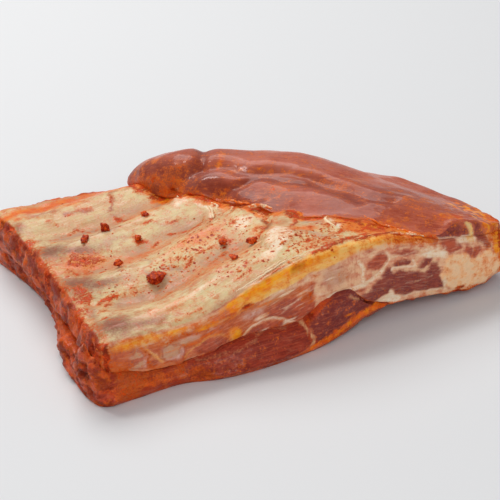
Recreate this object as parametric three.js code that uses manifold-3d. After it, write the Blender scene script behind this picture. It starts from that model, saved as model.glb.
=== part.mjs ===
// Marinated pork ribs, bone side up: a square of belly ribs with a thick muscle left over its far right side.
// Millimetres, +Z up. The work is drawn with X along the ribs from the sawn ends, Y across the ribs from the
// cut face, and Z up from the board; the last lines move it onto the middle of its own footprint.
import * as THREE from 'three';
import { mergeVertices } from 'three/addons/utils/BufferGeometryUtils.js';
import Module from 'manifold-3d';

// Driving sizes
const RIB_PITCH = 34.5; // from rib to rib across the slab
const FIRST_RIB = 11; // from the cut face to the middle of the first rib, at the sawn end
const RIB_SLANT = 0.1; // how far each rib moves away from the cut face for every millimetre along it
const RIB_RISE = 2.0; // how far a rib lifts the membrane
const SHOULDER = 23.6; // height of the sawn end
const ARCH_RISE = 14.5; // how much higher the slab is in its middle, at the cut face
const EAST_DROP = 8; // how far the hidden far corner falls
const GAP = 0.3; // left between neighbours
const FAT_DEPTH = 4.6; // thickest part of the yellow fat under the membrane
const FLAP_RISE = 9; // how far the loose flap climbs the sawn corner
const THIN_SKIRT = 3.4; // least thickness of the muscle on top
const LEAST_WALL = 1.2; // height of the thinnest upright edge
const OVERHANG = 5.6; // height of the outer meat's edge over the board, at the cut face

/** A number held between 0 and 1. */
const unit = (v) => Math.min(Math.max(v, 0), 1);

/** An eased step from 0 to 1. */
const ease = (v) => unit(v) ** 2 * (3 - 2 * unit(v));

/** A rounded hill of height 1 around a middle, with a half width. */
const hill = (v, middle, width) => Math.exp(-(((v - middle) / width) ** 2));

/** A smooth curve through [place, value] knots, level outside them. */
function curve(...knots) {
  const last = knots.length - 1;
  const slope = knots.map((k, i) => {
    const [before, after] = [knots[Math.max(i - 1, 0)], knots[Math.min(i + 1, last)]];
    return (after[1] - before[1]) / (after[0] - before[0]);
  });
  return (place) => {
    const u = Math.min(Math.max(place, knots[0][0]), knots[last][0]);
    let i = 0;
    while (i < last - 1 && u >= knots[i + 1][0]) i += 1;
    const h = knots[i + 1][0] - knots[i][0];
    const t = (u - knots[i][0]) / h;
    return (2 * t ** 3 - 3 * t ** 2 + 1) * knots[i][1] + (t ** 3 - 2 * t ** 2 + t) * h * slope[i]
      + (3 * t ** 2 - 2 * t ** 3) * knots[i + 1][1] + (t ** 3 - t ** 2) * h * slope[i + 1];
  };
}

/** A smooth line in plan through [x, y] points, walked from 0 to 1. */
function line(...points) {
  const walked = [0];
  for (let i = 1; i < points.length; i += 1) {
    walked.push(walked[i - 1] + Math.hypot(points[i][0] - points[i - 1][0], points[i][1] - points[i - 1][1]));
  }
  const at = walked.map((w) => w / walked[walked.length - 1]);
  const x = curve(...points.map((p, i) => [at[i], p[0]]));
  const y = curve(...points.map((p, i) => [at[i], p[1]]));
  return (t) => [x(t), y(t)];
}

/** A plan filled between four lines: a runs west to east, b south to north. */
function patch({ south, north, west, east }) {
  const [sw, se, nw, ne] = [south(0), south(1), north(0), north(1)];
  return (a, b) => [0, 1].map((i) => (1 - b) * south(a)[i] + b * north(a)[i] + (1 - a) * west(b)[i] + a * east(b)[i]
    - (1 - a) * (1 - b) * sw[i] - a * (1 - b) * se[i] - (1 - a) * b * nw[i] - a * b * ne[i]);
}

/** A height surface bent like a thin plate through [x, y, z] points. */
function plate(points) {
  const n = points.length;
  const pull = (x, y, p) => {
    const r2 = (x - p[0]) ** 2 + (y - p[1]) ** 2;
    return (r2 * Math.log(r2 + 1e-9)) / 2000;
  };
  const terms = (x, y) => [...points.map((p) => pull(x, y, p)), 1, x / 100, y / 100];
  const rows = points.map((p) => [...terms(p[0], p[1]), p[2]]);
  for (let k = 0; k < 3; k += 1) {
    rows.push([...points.map((p) => [1, p[0] / 100, p[1] / 100][k]), 0, 0, 0, 0]);
  }
  for (let c = 0; c < n + 3; c += 1) {
    let best = c;
    for (let r = c + 1; r < n + 3; r += 1) if (Math.abs(rows[r][c]) > Math.abs(rows[best][c])) best = r;
    [rows[c], rows[best]] = [rows[best], rows[c]];
    for (let r = 0; r < n + 3; r += 1) {
      if (r === c) continue;
      const f = rows[r][c] / rows[c][c];
      for (let k = c; k <= n + 3; k += 1) rows[r][k] -= f * rows[c][k];
    }
  }
  const weights = rows.map((row, i) => row[n + 3] / row[i]);
  return (x, y) => terms(x, y).reduce((sum, term, i) => sum + term * weights[i], 0);
}

/** Even steps from -0.5 to 0.5 moved a little toward both ends. */
const crowd = (v) => 0.55 * v + 0.225 * Math.sin(Math.PI * v);

/** A body over a plan, with rounded rims and upright corners, between a top and a bottom surface. */
function slabBody({ plan, size, top, bottom, topRadius, bottomRadius, corner, counts }) {
  const box = new THREE.BoxGeometry(1, 1, 1, ...counts);
  box.deleteAttribute('normal');
  box.deleteAttribute('uv');
  const shape = mergeVertices(box);
  const spot = shape.attributes.position;
  const rim = (radius, inset) => radius * (1 - Math.sqrt(1 - unit(1 - inset / radius) ** 2));
  for (let i = 0; i < spot.count; i += 1) {
    const [a, b, up] = [crowd(spot.getX(i)) + 0.5, crowd(spot.getY(i)) + 0.5, spot.getZ(i) + 0.5];
    const near = [Math.min(a, 1 - a) * size[0], Math.min(b, 1 - b) * size[1]];
    const left = near.map((d) => Math.max(corner - d, 0));
    const pull = left[0] > 0 && left[1] > 0 ? Math.max(...left) / Math.hypot(...left) : 1;
    const [da, db] = pull < 1 ? left.map((v) => corner - v * pull) : near;
    const [x, y] = plan(a < 0.5 ? da / size[0] : 1 - da / size[0], b < 0.5 ? db / size[1] : 1 - db / size[1]);
    const inset = Math.min(...near);
    const high = top(x, y) - rim(topRadius(a, b), inset);
    const low = bottom(x, y) + rim(bottomRadius, inset);
    spot.setXYZ(i, x, y, low + Math.max(high - low, LEAST_WALL) * up);
  }
  return shape;
}

/** A bar that starts at the cut face and runs on through the slab, thinner toward its end. */
function barBody({ middle, height, halfWidth, halfHeight, taper, square, counts }) {
  const round = new THREE.CylinderGeometry(1, 1, 1, ...counts);
  round.deleteAttribute('normal');
  round.deleteAttribute('uv');
  const shape = mergeVertices(round);
  const spot = shape.attributes.position;
  const blunt = (v) => Math.sign(v) * Math.abs(v) ** square;
  for (let i = 0; i < spot.count; i += 1) {
    const t = 0.5 - spot.getY(i);
    const [x, y] = middle(t);
    const thin = 1 - taper * t;
    spot.setXYZ(i, x + halfWidth * thin * blunt(spot.getX(i)), y, height(t) - halfHeight * thin * blunt(spot.getZ(i)));
  }
  return shape;
}

// Rib slab: membrane on top over the ribs and the meat between them
const arch = curve([0, 0.03], [20, 0], [40, 0.06], [50, 0.2], [60, 0.46], [70, 0.63], [80, 0.82], [90, 0.95],
  [103, 1], [120, 0.95], [130, 0.86], [140, 0.68], [148, 0.5], [160, 0.36], [170, 0.22], [184, 0.05]);
const acrossFall = curve([0, 1], [30, 0.9], [60, 0.72], [90, 0.45], [118, 0.22], [142, 0.05]);
const ribLift = (x, y) => RIB_RISE * (1 - 0.6 * unit((x - 90) / 50))
  * (0.5 + 0.5 * Math.cos((2 * Math.PI * (y - FIRST_RIB - RIB_SLANT * x)) / RIB_PITCH)) ** 1.4;
const slabTop = (x, y) => SHOULDER + ARCH_RISE * arch(x) * acrossFall(y) + ribLift(x, y)
  - EAST_DROP * unit(((x - 118) * 0.55 + (y - 78) * 0.83) / 40) ** 2;

// Seam between the slab and the outer meat, at the cut face and deeper in
const seamAtCut = curve([0, 15], [10, 11.5], [20, 9], [32, 8], [42, 9], [60, 11.5], [85, 12], [93, 15], [101, 18],
  [108, 17.5], [114, 12.5], [122, 8], [135, 6], [150, 4.2], [165, 3.6], [184, 7]);
const seamInside = curve([0, 11], [40, 12], [80, 13], [105, 12], [125, 7], [150, 5], [184, 6]);
const slabBottom = (x, y) => seamAtCut(x) + (seamInside(x) - seamAtCut(x)) * ease(y / 22);

const slab = {
  plan: patch({
    south: line([1, 0], [60, -0.3], [120, -0.2], [180, 1], [186, 5]),
    north: line([4, 140.5], [40, 141.5], [80, 138.5], [125, 122], [155, 98]),
    west: line([1, 0], [3.6, 7], [3.4, 16], [5, 35], [6.5, 70], [6, 100], [4, 140.5]),
    east: line([186, 5], [183, 30], [172, 65], [155, 98]),
  }),
  size: [180, 137],
  top: slabTop,
  bottom: slabBottom,
  topRadius: (a, b) => 4.5 + 1.2 * unit((b - 0.6) / 0.4) + 2 * unit((a - 0.7) / 0.3) * (1 - unit((b - 0.6) / 0.4)),
  bottomRadius: 3,
  corner: 6,
  counts: [29, 24, 3],
};

// Outer meat: the layer under the slab that the piece lies on, with a loose flap at the sawn corner
const flap = (x, y) => FLAP_RISE * hill(y, 8, 7) * unit((4 - x) / 3);
const outerMeat = {
  plan: patch({
    south: line([1, -3], [16, -2.5], [34, -2], [48, -6.5], [66, -8], [88, -6], [108, -2], [127, 1]),
    north: line([3, 139], [60, 140], [100, 126], [132, 110]),
    west: line([1, -3], [-1.6, 12], [0.6, 40], [6.6, 62], [9.6, 88], [8, 108], [3, 139]),
    east: line([127, 1], [140, 40], [147, 75], [132, 110]),
  }),
  size: [130, 136],
  top: (x, y) => slabBottom(x, Math.max(y, 0)) + 0.8 + flap(x, y),
  bottom: (x, y) => OVERHANG * ease((x - 88) / 40) * (1 - ease((y - 8) / 30)),
  topRadius: () => 2.4,
  bottomRadius: 1.5,
  corner: 5,
  counts: [18, 17, 2],
};

// Skirt: the thick muscle over the far right side, its height given where its folds stand and fall
const SKIRT_HEIGHTS = [
  [67, 135, 30], [70, 120, 36], [75, 103, 38], [86, 81, 37], [93, 62, 38], [99, 46, 39], [114, 29, 40.5],
  [130, 12, 38.5], [146, 0, 36.5], [84, 110, 42.5], [100, 103, 43], [117, 93, 42.5], [131, 83, 41.5],
  [147, 69, 36.5], [156, 46, 34.5], [161, 26, 35], [166, 8, 34.5], [90, 133, 33], [108, 124, 30], [126, 118, 24],
  [141, 109, 20.5], [155, 98, 18], [168, 70, 21], [177, 34, 28], [181, 8, 30], [104, 74, 41], [120, 55, 41],
  [138, 36, 39],
];
const folds = plate(SKIRT_HEIGHTS);
const skirt = {
  plan: patch({
    south: line([145.5, -0.3], [158, -0.2], [172, 0.6], [182, 4.5]),
    north: line([67, 138], [90, 136], [125, 121], [154, 97]),
    west: line([145.5, -0.3], [130, 11], [114, 28], [98, 45], [93, 60], [86, 80], [74, 103], [69, 120], [67, 138]),
    east: line([182, 4.5], [180, 30], [170.5, 64], [154, 97]),
  }),
  size: [60, 160],
  top: (x, y) => Math.max(folds(x, y), slabTop(x, y) + THIN_SKIRT),
  bottom: (x, y) => slabTop(x, y) - 1.2,
  topRadius: (a, b) => 7 - 4 * unit(1 - b / 0.12) * (1 - a) - 4.5 * ease(2 * a - 0.6),
  bottomRadius: 1,
  corner: 6,
  counts: [12, 20, 2],
};

// Fat: the yellow layer under the membrane, at the top of the arch
const fat = {
  plan: patch({
    south: line([56, -4], [116, -4]),
    north: line([83, 66], [96, 64]),
    west: line([56, -4], [59, 12], [65, 28], [70, 46], [83, 66]),
    east: line([116, -4], [114, 18], [107, 42], [96, 64]),
  }),
  size: [48, 70],
  top: (x, y) => slabTop(x, y) + 4,
  bottom: (x, y) => slabTop(x, y) - 1.6 - (FAT_DEPTH - 1.6) * hill(x, 86, 22) * unit(1 - y / 78),
  topRadius: () => 0.5,
  bottomRadius: 0.5,
  corner: 3,
  counts: [9, 10, 2],
};

// Breast end: the pale cartilage and the dark muscle beside it, both shown by the cut
const cartilage = {
  middle: line([163.5, -0.3], [161, 30], [155, 62], [148, 88]),
  height: curve([0, 14], [1, 14]),
  halfWidth: 12.5,
  halfHeight: 8.8,
  taper: 0.35,
  square: 0.8,
  counts: [16, 6],
};
const muscle = {
  middle: line([131, -0.3], [130, 30], [126, 60], [121, 84]),
  height: curve([0, 15.8], [1, 14]),
  halfWidth: 16,
  halfHeight: 5.4,
  taper: 0.4,
  square: 0.95,
  counts: [16, 6],
};

// Marinade crumbs on the membrane and on the fat: [x, y, length, width, height, turn in degrees]
const CRUMBS = [
  [42, 38, 6.4, 5.2, 3.0, 20], [29, 84, 5.6, 2.6, 2.2, 62], [40, 88, 2.8, 3.4, 4.4, 10], [34, 59, 3.6, 2.8, 2.0, 35],
  [49, 74, 3.2, 2.6, 1.8, 70], [58, 88, 3.6, 2.6, 1.8, 120],
];
const CRUMBS_ON_FAT = [[80, 29, 4.0, 3.0, 2.2, 15], [72, 40, 3.4, 2.8, 1.8, 40], [69, 23, 3.2, 2.4, 1.6, 100]];

const wasm = await Module();
wasm.setup();

/** The solid of a closed geometry. */
function solid(geometry) {
  const { position } = geometry.attributes;
  return new wasm.Manifold(new wasm.Mesh({
    numProp: 3,
    vertProperties: new Float32Array(position.array),
    triVerts: new Uint32Array(geometry.index.array),
  }));
}

/** A geometry from a solid. */
function geometryOf(body) {
  const cut = body.getMesh();
  const geometry = new THREE.BufferGeometry();
  geometry.setAttribute('position', new THREE.BufferAttribute(new Float32Array(cut.vertProperties), 3));
  geometry.setIndex(new THREE.BufferAttribute(new Uint32Array(cut.triVerts), 1));
  geometry.computeVertexNormals();
  return geometry;
}

/** The first shape less the others, each other one taken away at every offset. */
function carve(shape, ...others) {
  let body = solid(shape);
  for (const { from, offsets } of others) {
    for (const offset of offsets) body = body.subtract(solid(from.clone().translate(...offset)));
  }
  return body;
}

/** The same bar, wider all round by the gap. */
const looser = (bar) => barBody({ ...bar, halfWidth: bar.halfWidth + GAP, halfHeight: bar.halfHeight + GAP });

/** A crumb with flat faces, sunk a third into the membrane. */
function crumbBody([x, y, length, width, height, turn]) {
  const shape = new THREE.IcosahedronGeometry(0.5, 0);
  shape.deleteAttribute('normal');
  shape.deleteAttribute('uv');
  const crumb = mergeVertices(shape);
  crumb.scale(length, width, height * 1.5);
  crumb.rotateZ(THREE.MathUtils.degToRad(turn));
  crumb.translate(x, y, slabTop(x, y) + height * 0.25);
  return crumb;
}

const slabShape = slabBody(slab);
const fatShape = slabBody(fat);
const barEnd = [0, 0, 0];
const down = [0, 0, -GAP];
const up = [0, 0, GAP];

const slabSolid = carve(slabShape, { from: fatShape, offsets: [down, [GAP, 0, 0], [-GAP, 0, 0], [0, GAP, 0]] },
  { from: looser(cartilage).translate(0, -GAP, 0), offsets: [barEnd, [0, 2 * GAP, 0]] },
  { from: looser(muscle).translate(0, -GAP, 0), offsets: [barEnd, [0, 2 * GAP, 0]] });

const outerSolid = carve(slabBody(outerMeat), { from: slabShape, offsets: [down, [-GAP, 0, 0], [0, -GAP, 0]] });
const skirtSolid = carve(slabBody(skirt), { from: slabShape, offsets: [up] });
const fatSolid = solid(fatShape).intersect(solid(slabShape));
const strew = (body, crumbs) => crumbs.reduce((sum, crumb) => sum.add(solid(crumbBody(crumb))), body);

const ribs = new THREE.Group();
const PIECES = [
  ['rib_slab', geometryOf(strew(slabSolid, CRUMBS)), '#d9b48f', 0.38],
  ['fat_layer', geometryOf(strew(fatSolid, CRUMBS_ON_FAT)), '#e6b565', 0.32],
  ['chest_muscle', barBody(muscle), '#7d3f3c', 0.4],
  ['cartilage', barBody(cartilage), '#e3bfa2', 0.35],
  ['outer_meat', geometryOf(outerSolid), '#9c4a3a', 0.42],
  ['skirt', geometryOf(skirtSolid), '#8f4436', 0.45],
];
for (const [name, geometry, color, roughness] of PIECES) {
  const piece = new THREE.Mesh(geometry, new THREE.MeshStandardMaterial({ color, roughness, metalness: 0 }));
  piece.name = name;
  ribs.add(piece);
}

// The origin is the middle of the footprint, on the board
const extent = new THREE.Box3().setFromObject(ribs, true);
const middle = extent.getCenter(new THREE.Vector3());
ribs.position.set(-middle.x, -middle.y, -extent.min.z);

export default ribs;
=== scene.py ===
# %% [markdown]
# # Marinated pork ribs
# This lesson builds a square of raw, marinated belly ribs that lies bone side up. A thin, silky membrane
# covers the ribs, a straight cut shows fat, muscle and cartilage in front, the sawn rib ends on the left
# are dark with marinade, and a thick muscle was left on the far right side. The solids of the model are
# loaded first, because every piece made here has to sit exactly where they are.

# %% Load the frame
from math import cos, sin, radians, pi

import bpy
import numpy as np
from mathutils import Matrix, Vector


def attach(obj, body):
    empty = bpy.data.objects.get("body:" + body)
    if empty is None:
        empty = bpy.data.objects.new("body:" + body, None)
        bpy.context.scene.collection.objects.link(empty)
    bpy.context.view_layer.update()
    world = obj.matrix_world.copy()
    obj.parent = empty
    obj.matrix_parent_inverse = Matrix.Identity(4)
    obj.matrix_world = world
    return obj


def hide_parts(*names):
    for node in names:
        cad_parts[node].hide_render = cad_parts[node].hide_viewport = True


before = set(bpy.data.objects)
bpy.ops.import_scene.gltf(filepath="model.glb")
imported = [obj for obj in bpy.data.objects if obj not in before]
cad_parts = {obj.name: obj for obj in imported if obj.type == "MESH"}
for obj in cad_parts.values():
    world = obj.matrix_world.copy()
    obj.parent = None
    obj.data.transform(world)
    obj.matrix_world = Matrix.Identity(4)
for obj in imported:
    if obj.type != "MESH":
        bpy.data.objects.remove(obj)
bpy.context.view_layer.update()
print("solids:", sorted(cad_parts))

# %% [markdown]
# The ribs were measured in millimetres from the front left corner: X runs along the ribs from the sawn
# ends, Y runs across them away from the cut face, and Z goes up from the board. Blender wants metres from
# the middle of the footprint, so one shift and one scale turn a drawing point into a Blender point.

# %% From the drawing to Blender
MM = 0.001
SHIFT = np.array([91.936, 66.778, 0.0])


def to_metres(points):
    """Drawing points in millimetres, as Blender points."""
    return (np.asarray(points, float) - SHIFT) * MM


# %% [markdown]
# Meat has no straight lines, so each of its forms is drawn with three kinds of smooth helper: a curve
# through (place, value) knots, a line in plan through points, and a thin plate that bends through given
# heights.

# %% Smooth curves, lines and plates
def unit(v):
    return np.clip(v, 0.0, 1.0)


def ease(v):
    return unit(v) ** 2 * (3 - 2 * unit(v))


def hill(v, middle, width):
    return np.exp(-(((v - middle) / width) ** 2))


def curve(*knots):
    """A smooth curve through (place, value) knots, level outside them."""
    u, v = np.array(knots, float).T
    slope = np.gradient(v)
    slope[1:-1] = (v[2:] - v[:-2]) / (u[2:] - u[:-2])
    slope[0], slope[-1] = (v[1] - v[0]) / (u[1] - u[0]), (v[-1] - v[-2]) / (u[-1] - u[-2])

    def value(place):
        x = np.clip(np.asarray(place, float), u[0], u[-1])
        i = np.clip(np.searchsorted(u, x, side="right") - 1, 0, len(u) - 2)
        h = u[i + 1] - u[i]
        t = (x - u[i]) / h
        return ((2 * t**3 - 3 * t**2 + 1) * v[i] + (t**3 - 2 * t**2 + t) * h * slope[i]
                + (3 * t**2 - 2 * t**3) * v[i + 1] + (t**3 - t**2) * h * slope[i + 1])
    return value


def line(*points):
    """A smooth line in plan through (x, y) points, walked from 0 to 1."""
    p = np.array(points, float)
    walked = np.concatenate([[0], np.cumsum(np.hypot(*np.diff(p, axis=0).T))])
    walked /= walked[-1]
    x, y = curve(*zip(walked, p[:, 0])), curve(*zip(walked, p[:, 1]))
    return lambda t: np.stack([x(t), y(t)], -1)


def patch(south, north, west, east):
    """A plan filled between four lines: a runs west to east, b south to north."""
    sw, se, nw, ne = south(0.0), south(1.0), north(0.0), north(1.0)

    def spot(a, b):
        p, q = a[..., None], b[..., None]
        return ((1 - q) * south(a) + q * north(a) + (1 - p) * west(b) + p * east(b)
                - (1 - p) * (1 - q) * sw - p * (1 - q) * se - (1 - p) * q * nw - p * q * ne)
    return spot


def plate(points):
    """A height surface bent like a thin plate through (x, y, z) points."""
    p = np.array(points, float)
    n = len(p)

    def terms(x, y):
        r2 = (x[..., None] - p[:, 0]) ** 2 + (y[..., None] - p[:, 1]) ** 2
        flat = np.stack([np.ones_like(x), x / 100, y / 100], -1)
        return np.concatenate([r2 * np.log(r2 + 1e-9) / 2000, flat], -1)
    rows = terms(p[:, 0], p[:, 1])
    square = np.zeros((n + 3, n + 3))
    square[:n], square[n:, :n] = rows, rows[:, n:].T
    weights = np.linalg.solve(square, np.concatenate([p[:, 2], np.zeros(3)]))
    return lambda x, y: terms(np.asarray(x, float), np.asarray(y, float)) @ weights


# %% [markdown]
# Raw meat is lumpy at every scale. Smooth random values over space, added up at several sizes, give that
# unevenness, and a fixed seed gives the same lumps on every run.

# %% Smooth random lumps
dice = np.random.default_rng(5189)
SHUFFLE = dice.permutation(256)
PULLS = dice.normal(size=(256, 3))
PULLS /= np.linalg.norm(PULLS, axis=1, keepdims=True)


def lumps(points, size, seed=0):
    """Smooth random values from about -1 to 1, in lumps of a size in millimetres (or one per axis)."""
    q = points / np.asarray(size, float) + 17.3 * seed
    cell = np.floor(q).astype(int)
    f = q - cell
    w = f**3 * (f * (f * 6 - 15) + 10)
    total = np.zeros(len(q))
    for corner in range(8):
        step = np.array([corner & 1, corner >> 1 & 1, corner >> 2 & 1])
        i, j, k = ((cell + step) & 255).T
        pull = PULLS[SHUFFLE[(SHUFFLE[(SHUFFLE[i] + j) & 255] + k) & 255]]
        share = np.prod(np.where(step, w, 1 - w), axis=1)
        total += share * np.sum(pull * (f - step), axis=1)
    return total * 1.6


def many_lumps(points, size, octaves=3, seed=0):
    """Lumps with smaller lumps on them."""
    return sum(lumps(points, np.asarray(size) / 2**o, seed + o) / 2**o for o in range(octaves))


# %% [markdown]
# Every large piece is a body over a plan: a top height, a bottom height, rounded rims and upright corners.
# The skin of a block of small cells is bent into that shape. Because the cells stay in neat rows, the same
# body can be made coarse or fine, and there are no seams or poles on it.

# %% A body over a plan
def block_skin(nx, ny, nz):
    """The skin of a block of cells: its lattice points, and its four-sided faces pointing out."""
    i, j, k = np.indices((nx + 1, ny + 1, nz + 1))
    skin = (i % nx == 0) | (j % ny == 0) | (k % nz == 0)
    number = np.full(skin.shape, -1)
    number[skin] = np.arange(skin.sum())

    def side(sheet, turned):
        quads = np.stack([sheet[:-1, :-1], sheet[1:, :-1], sheet[1:, 1:], sheet[:-1, 1:]], -1).reshape(-1, 4)
        return quads[:, ::-1] if turned else quads
    faces = [side(number[:, :, -1], False), side(number[:, :, 0], True), side(number[:, 0], False),
             side(number[:, -1], True), side(number[-1], False), side(number[0], True)]
    return np.stack([i[skin], j[skin], k[skin]], -1), np.concatenate(faces)


def toward_ends(v, share=0.2):
    """Even steps from 0 to 1, moved a little toward both ends."""
    return v - share * np.sin(2 * pi * v) / (2 * pi)


def toward_start(v, share=0.3):
    """Even steps from 0 to 1, closer together at the start."""
    return (1 - share) * v + share * v * v


def body(form, counts):
    """Points and faces of a body, and how far up it each point is, from 0 to 1."""
    cells, faces = block_skin(*counts)
    a, b = toward_ends(cells[:, 0] / counts[0]), toward_start(cells[:, 1] / counts[1])
    up = cells[:, 2] / counts[2]
    long, wide = form["size"]
    near = np.stack([np.minimum(a, 1 - a) * long, np.minimum(b, 1 - b) * wide], -1)
    left = np.maximum(form["corner"] - near, 0)
    both = (left > 0).all(axis=1)
    pull = np.where(both, left.max(axis=1) / np.maximum(np.hypot(*left.T), 1e-9), 1.0)
    d = np.where(both[:, None], form["corner"] - left * pull[:, None], near)
    spot = form["plan"](np.where(a < 0.5, d[:, 0] / long, 1 - d[:, 0] / long),
                        np.where(b < 0.5, d[:, 1] / wide, 1 - d[:, 1] / wide))
    x, y = spot.T
    inset = near.min(axis=1)

    def rim(radius):
        return radius * (1 - np.sqrt(1 - unit(1 - inset / radius) ** 2))
    high = form["top"](x, y) - rim(form["top_radius"](a, b))
    low = form["bottom"](x, y) + rim(form["bottom_radius"])
    z = low + np.maximum(high - low, LEAST_WALL) * up
    return np.stack([x, y, z], -1), faces, up


def outward(points, faces):
    """The outward direction at every point."""
    p = points[faces]
    across = np.cross(p[:, 2] - p[:, 0], p[:, 3] - p[:, 1])
    total = np.stack([np.bincount(faces.ravel(), np.repeat(across[:, c], 4), len(points))
            for c in range(3)], -1)
    return total / np.maximum(np.linalg.norm(total, axis=1, keepdims=True), 1e-12)


# %% [markdown]
# These are the sizes that the solids have too: the rib spacing, the height of the sawn end, and the arch
# that lifts the slab in its middle. The slab's top follows the arch and swells a little over each rib.

# %% The slab's form
RIB_PITCH, FIRST_RIB, RIB_SLANT, RIB_RISE = 34.5, 11.0, 0.1, 2.0
SHOULDER, ARCH_RISE, EAST_DROP = 23.6, 14.5, 8.0
THIN_SKIRT, LEAST_WALL, OVERHANG, FLAP_RISE = 3.4, 1.2, 5.6, 9.0

arch = curve((0, 0.03), (20, 0), (40, 0.06), (50, 0.2), (60, 0.46), (70, 0.63), (80, 0.82), (90, 0.95),
    (103, 1), (120, 0.95), (130, 0.86), (140, 0.68), (148, 0.5), (160, 0.36), (170, 0.22), (184, 0.05))
across_fall = curve((0, 1), (30, 0.9), (60, 0.72), (90, 0.45), (118, 0.22), (142, 0.05))


def over_rib(x, y):
    """1 over the middle of a rib, 0 halfway to the next one."""
    return 0.5 + 0.5 * np.cos(2 * pi * (y - FIRST_RIB - RIB_SLANT * x) / RIB_PITCH)


def slab_top(x, y):
    return (SHOULDER + ARCH_RISE * arch(x) * across_fall(y)
            + RIB_RISE * (1 - 0.6 * unit((x - 90) / 50)) * over_rib(x, y) ** 1.4
            - EAST_DROP * unit(((x - 118) * 0.55 + (y - 78) * 0.83) / 40) ** 2)


seam_at_cut = curve((0, 15), (10, 11.5), (20, 9), (32, 8), (42, 9), (60, 11.5), (85, 12), (93, 15), (101, 18),
                    (108, 17.5), (114, 12.5), (122, 8), (135, 6), (150, 4.2), (165, 3.6), (184, 7))
seam_inside = curve((0, 11), (40, 12), (80, 13), (105, 12), (125, 7), (150, 5), (184, 6))


def slab_bottom(x, y):
    return seam_at_cut(x) + (seam_inside(x) - seam_at_cut(x)) * ease(y / 22)


SLAB = dict(plan=patch(south=line((1, 0), (60, -0.3), (120, -0.2), (180, 1), (186, 5)),
        north=line((4, 140.5), (40, 141.5), (80, 138.5), (125, 122), (155, 98)),
        west=line((1, 0), (3.6, 7), (3.4, 16), (5, 35), (6.5, 70), (6, 100), (4, 140.5)),
        east=line((186, 5), (183, 30), (172, 65), (155, 98))), size=(180, 137), top=slab_top,
    bottom=slab_bottom, bottom_radius=0.6, corner=6, top_radius=lambda a, b: 4.5 + 1.2 * unit((b - 0.6) / 0.4)
    + 2 * unit((a - 0.7) / 0.3) * (1 - unit((b - 0.6) / 0.4)))
print("slab height over the arch: %.1f mm" % slab_top(np.array([103.0]), np.array([5.0]))[0])

# %% [markdown]
# The outer meat is the layer that the piece lies on. In front it swells out from under the slab, and at the
# sawn corner a loose flap of it climbs the side. The skirt is a separate muscle with folds, so its height
# is given at the places where the folds stand and fall.

# %% The outer meat's and the skirt's forms
OUTER = dict(
    plan=patch(south=line((1, -3), (16, -2.5), (34, -2), (48, -6.5), (66, -8), (88, -6), (108, -2), (127, 1)),
               north=line((3, 139), (60, 140), (100, 126), (132, 110)),
               west=line((1, -3), (-1.6, 12), (0.6, 40), (6.6, 62), (9.6, 88), (8, 108), (3, 139)),
               east=line((127, 1), (140, 40), (147, 75), (132, 110))),
    size=(130, 136), bottom_radius=1.5, corner=5,
    top=lambda x, y: (slab_bottom(x, np.maximum(y, 0)) + 0.8 + FLAP_RISE * hill(y, 8, 7) * unit((4 - x) / 3)
                      + 0.8 * ease((6 - y) / 6) * ease((x - 86) / 8)),
    top_radius=lambda a, b: 2.4 + (4.6 * ease((a - 0.25) / 0.15) * (1 - ease((a - 0.62) / 0.14))
                                   * ease((0.3 - b) / 0.2)),
    bottom=lambda x, y: OVERHANG * ease((x - 88) / 40) * (1 - ease((y - 8) / 30)))

SKIRT_HEIGHTS = [(67, 135, 30), (70, 120, 36), (75, 103, 38), (86, 81, 37), (93, 62, 38), (99, 46, 39),
    (114, 29, 40.5), (130, 12, 38.5), (146, 0, 36.5), (84, 110, 42.5), (100, 103, 43), (117, 93, 42.5),
    (131, 83, 41.5), (147, 69, 36.5), (156, 46, 34.5), (161, 26, 35), (166, 8, 34.5), (90, 133, 33),
    (108, 124, 30), (126, 118, 24), (141, 109, 20.5), (155, 98, 18), (168, 70, 21), (177, 34, 28),
    (181, 8, 30), (104, 74, 41), (120, 55, 41), (138, 36, 39)]
folds = plate(SKIRT_HEIGHTS)
SKIRT_FRONT = [(145.5, -0.3), (130, 11), (114, 28), (98, 45), (93, 60), (86, 80), (74, 103), (69, 120),
    (67, 138)]
SKIRT = dict(
    plan=patch(south=line((145.5, -0.3), (158, -0.2), (172, 0.6), (182, 4.5)),
               north=line((67, 138), (90, 136), (125, 121), (154, 97)),
               west=line(*SKIRT_FRONT),
               east=line((182, 4.5), (180, 30), (170.5, 64), (154, 97))),
    size=(60, 160), bottom_radius=1, corner=6,
    top=lambda x, y: np.maximum(folds(x, y), slab_top(x, y) + THIN_SKIRT),
    bottom=lambda x, y: slab_top(x, y) - 1.2,
    top_radius=lambda a, b: 7 - 4 * unit(1 - b / 0.12) * (1 - a) - 4.5 * ease(2 * a - 0.6))

# %% [markdown]
# The photograph shows where each smear, seam and patch of fat lies. Each is marked as a stroke along a line
# or as an oval or many-sided area, in drawing millimetres. A mark is kept on the mesh as a soft ramp that
# is one half at its border: the material sharpens the ramp and roughens it with noise, so the border is
# crisp even between points. A side of a piece is drawn on through its own two directions.

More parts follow.
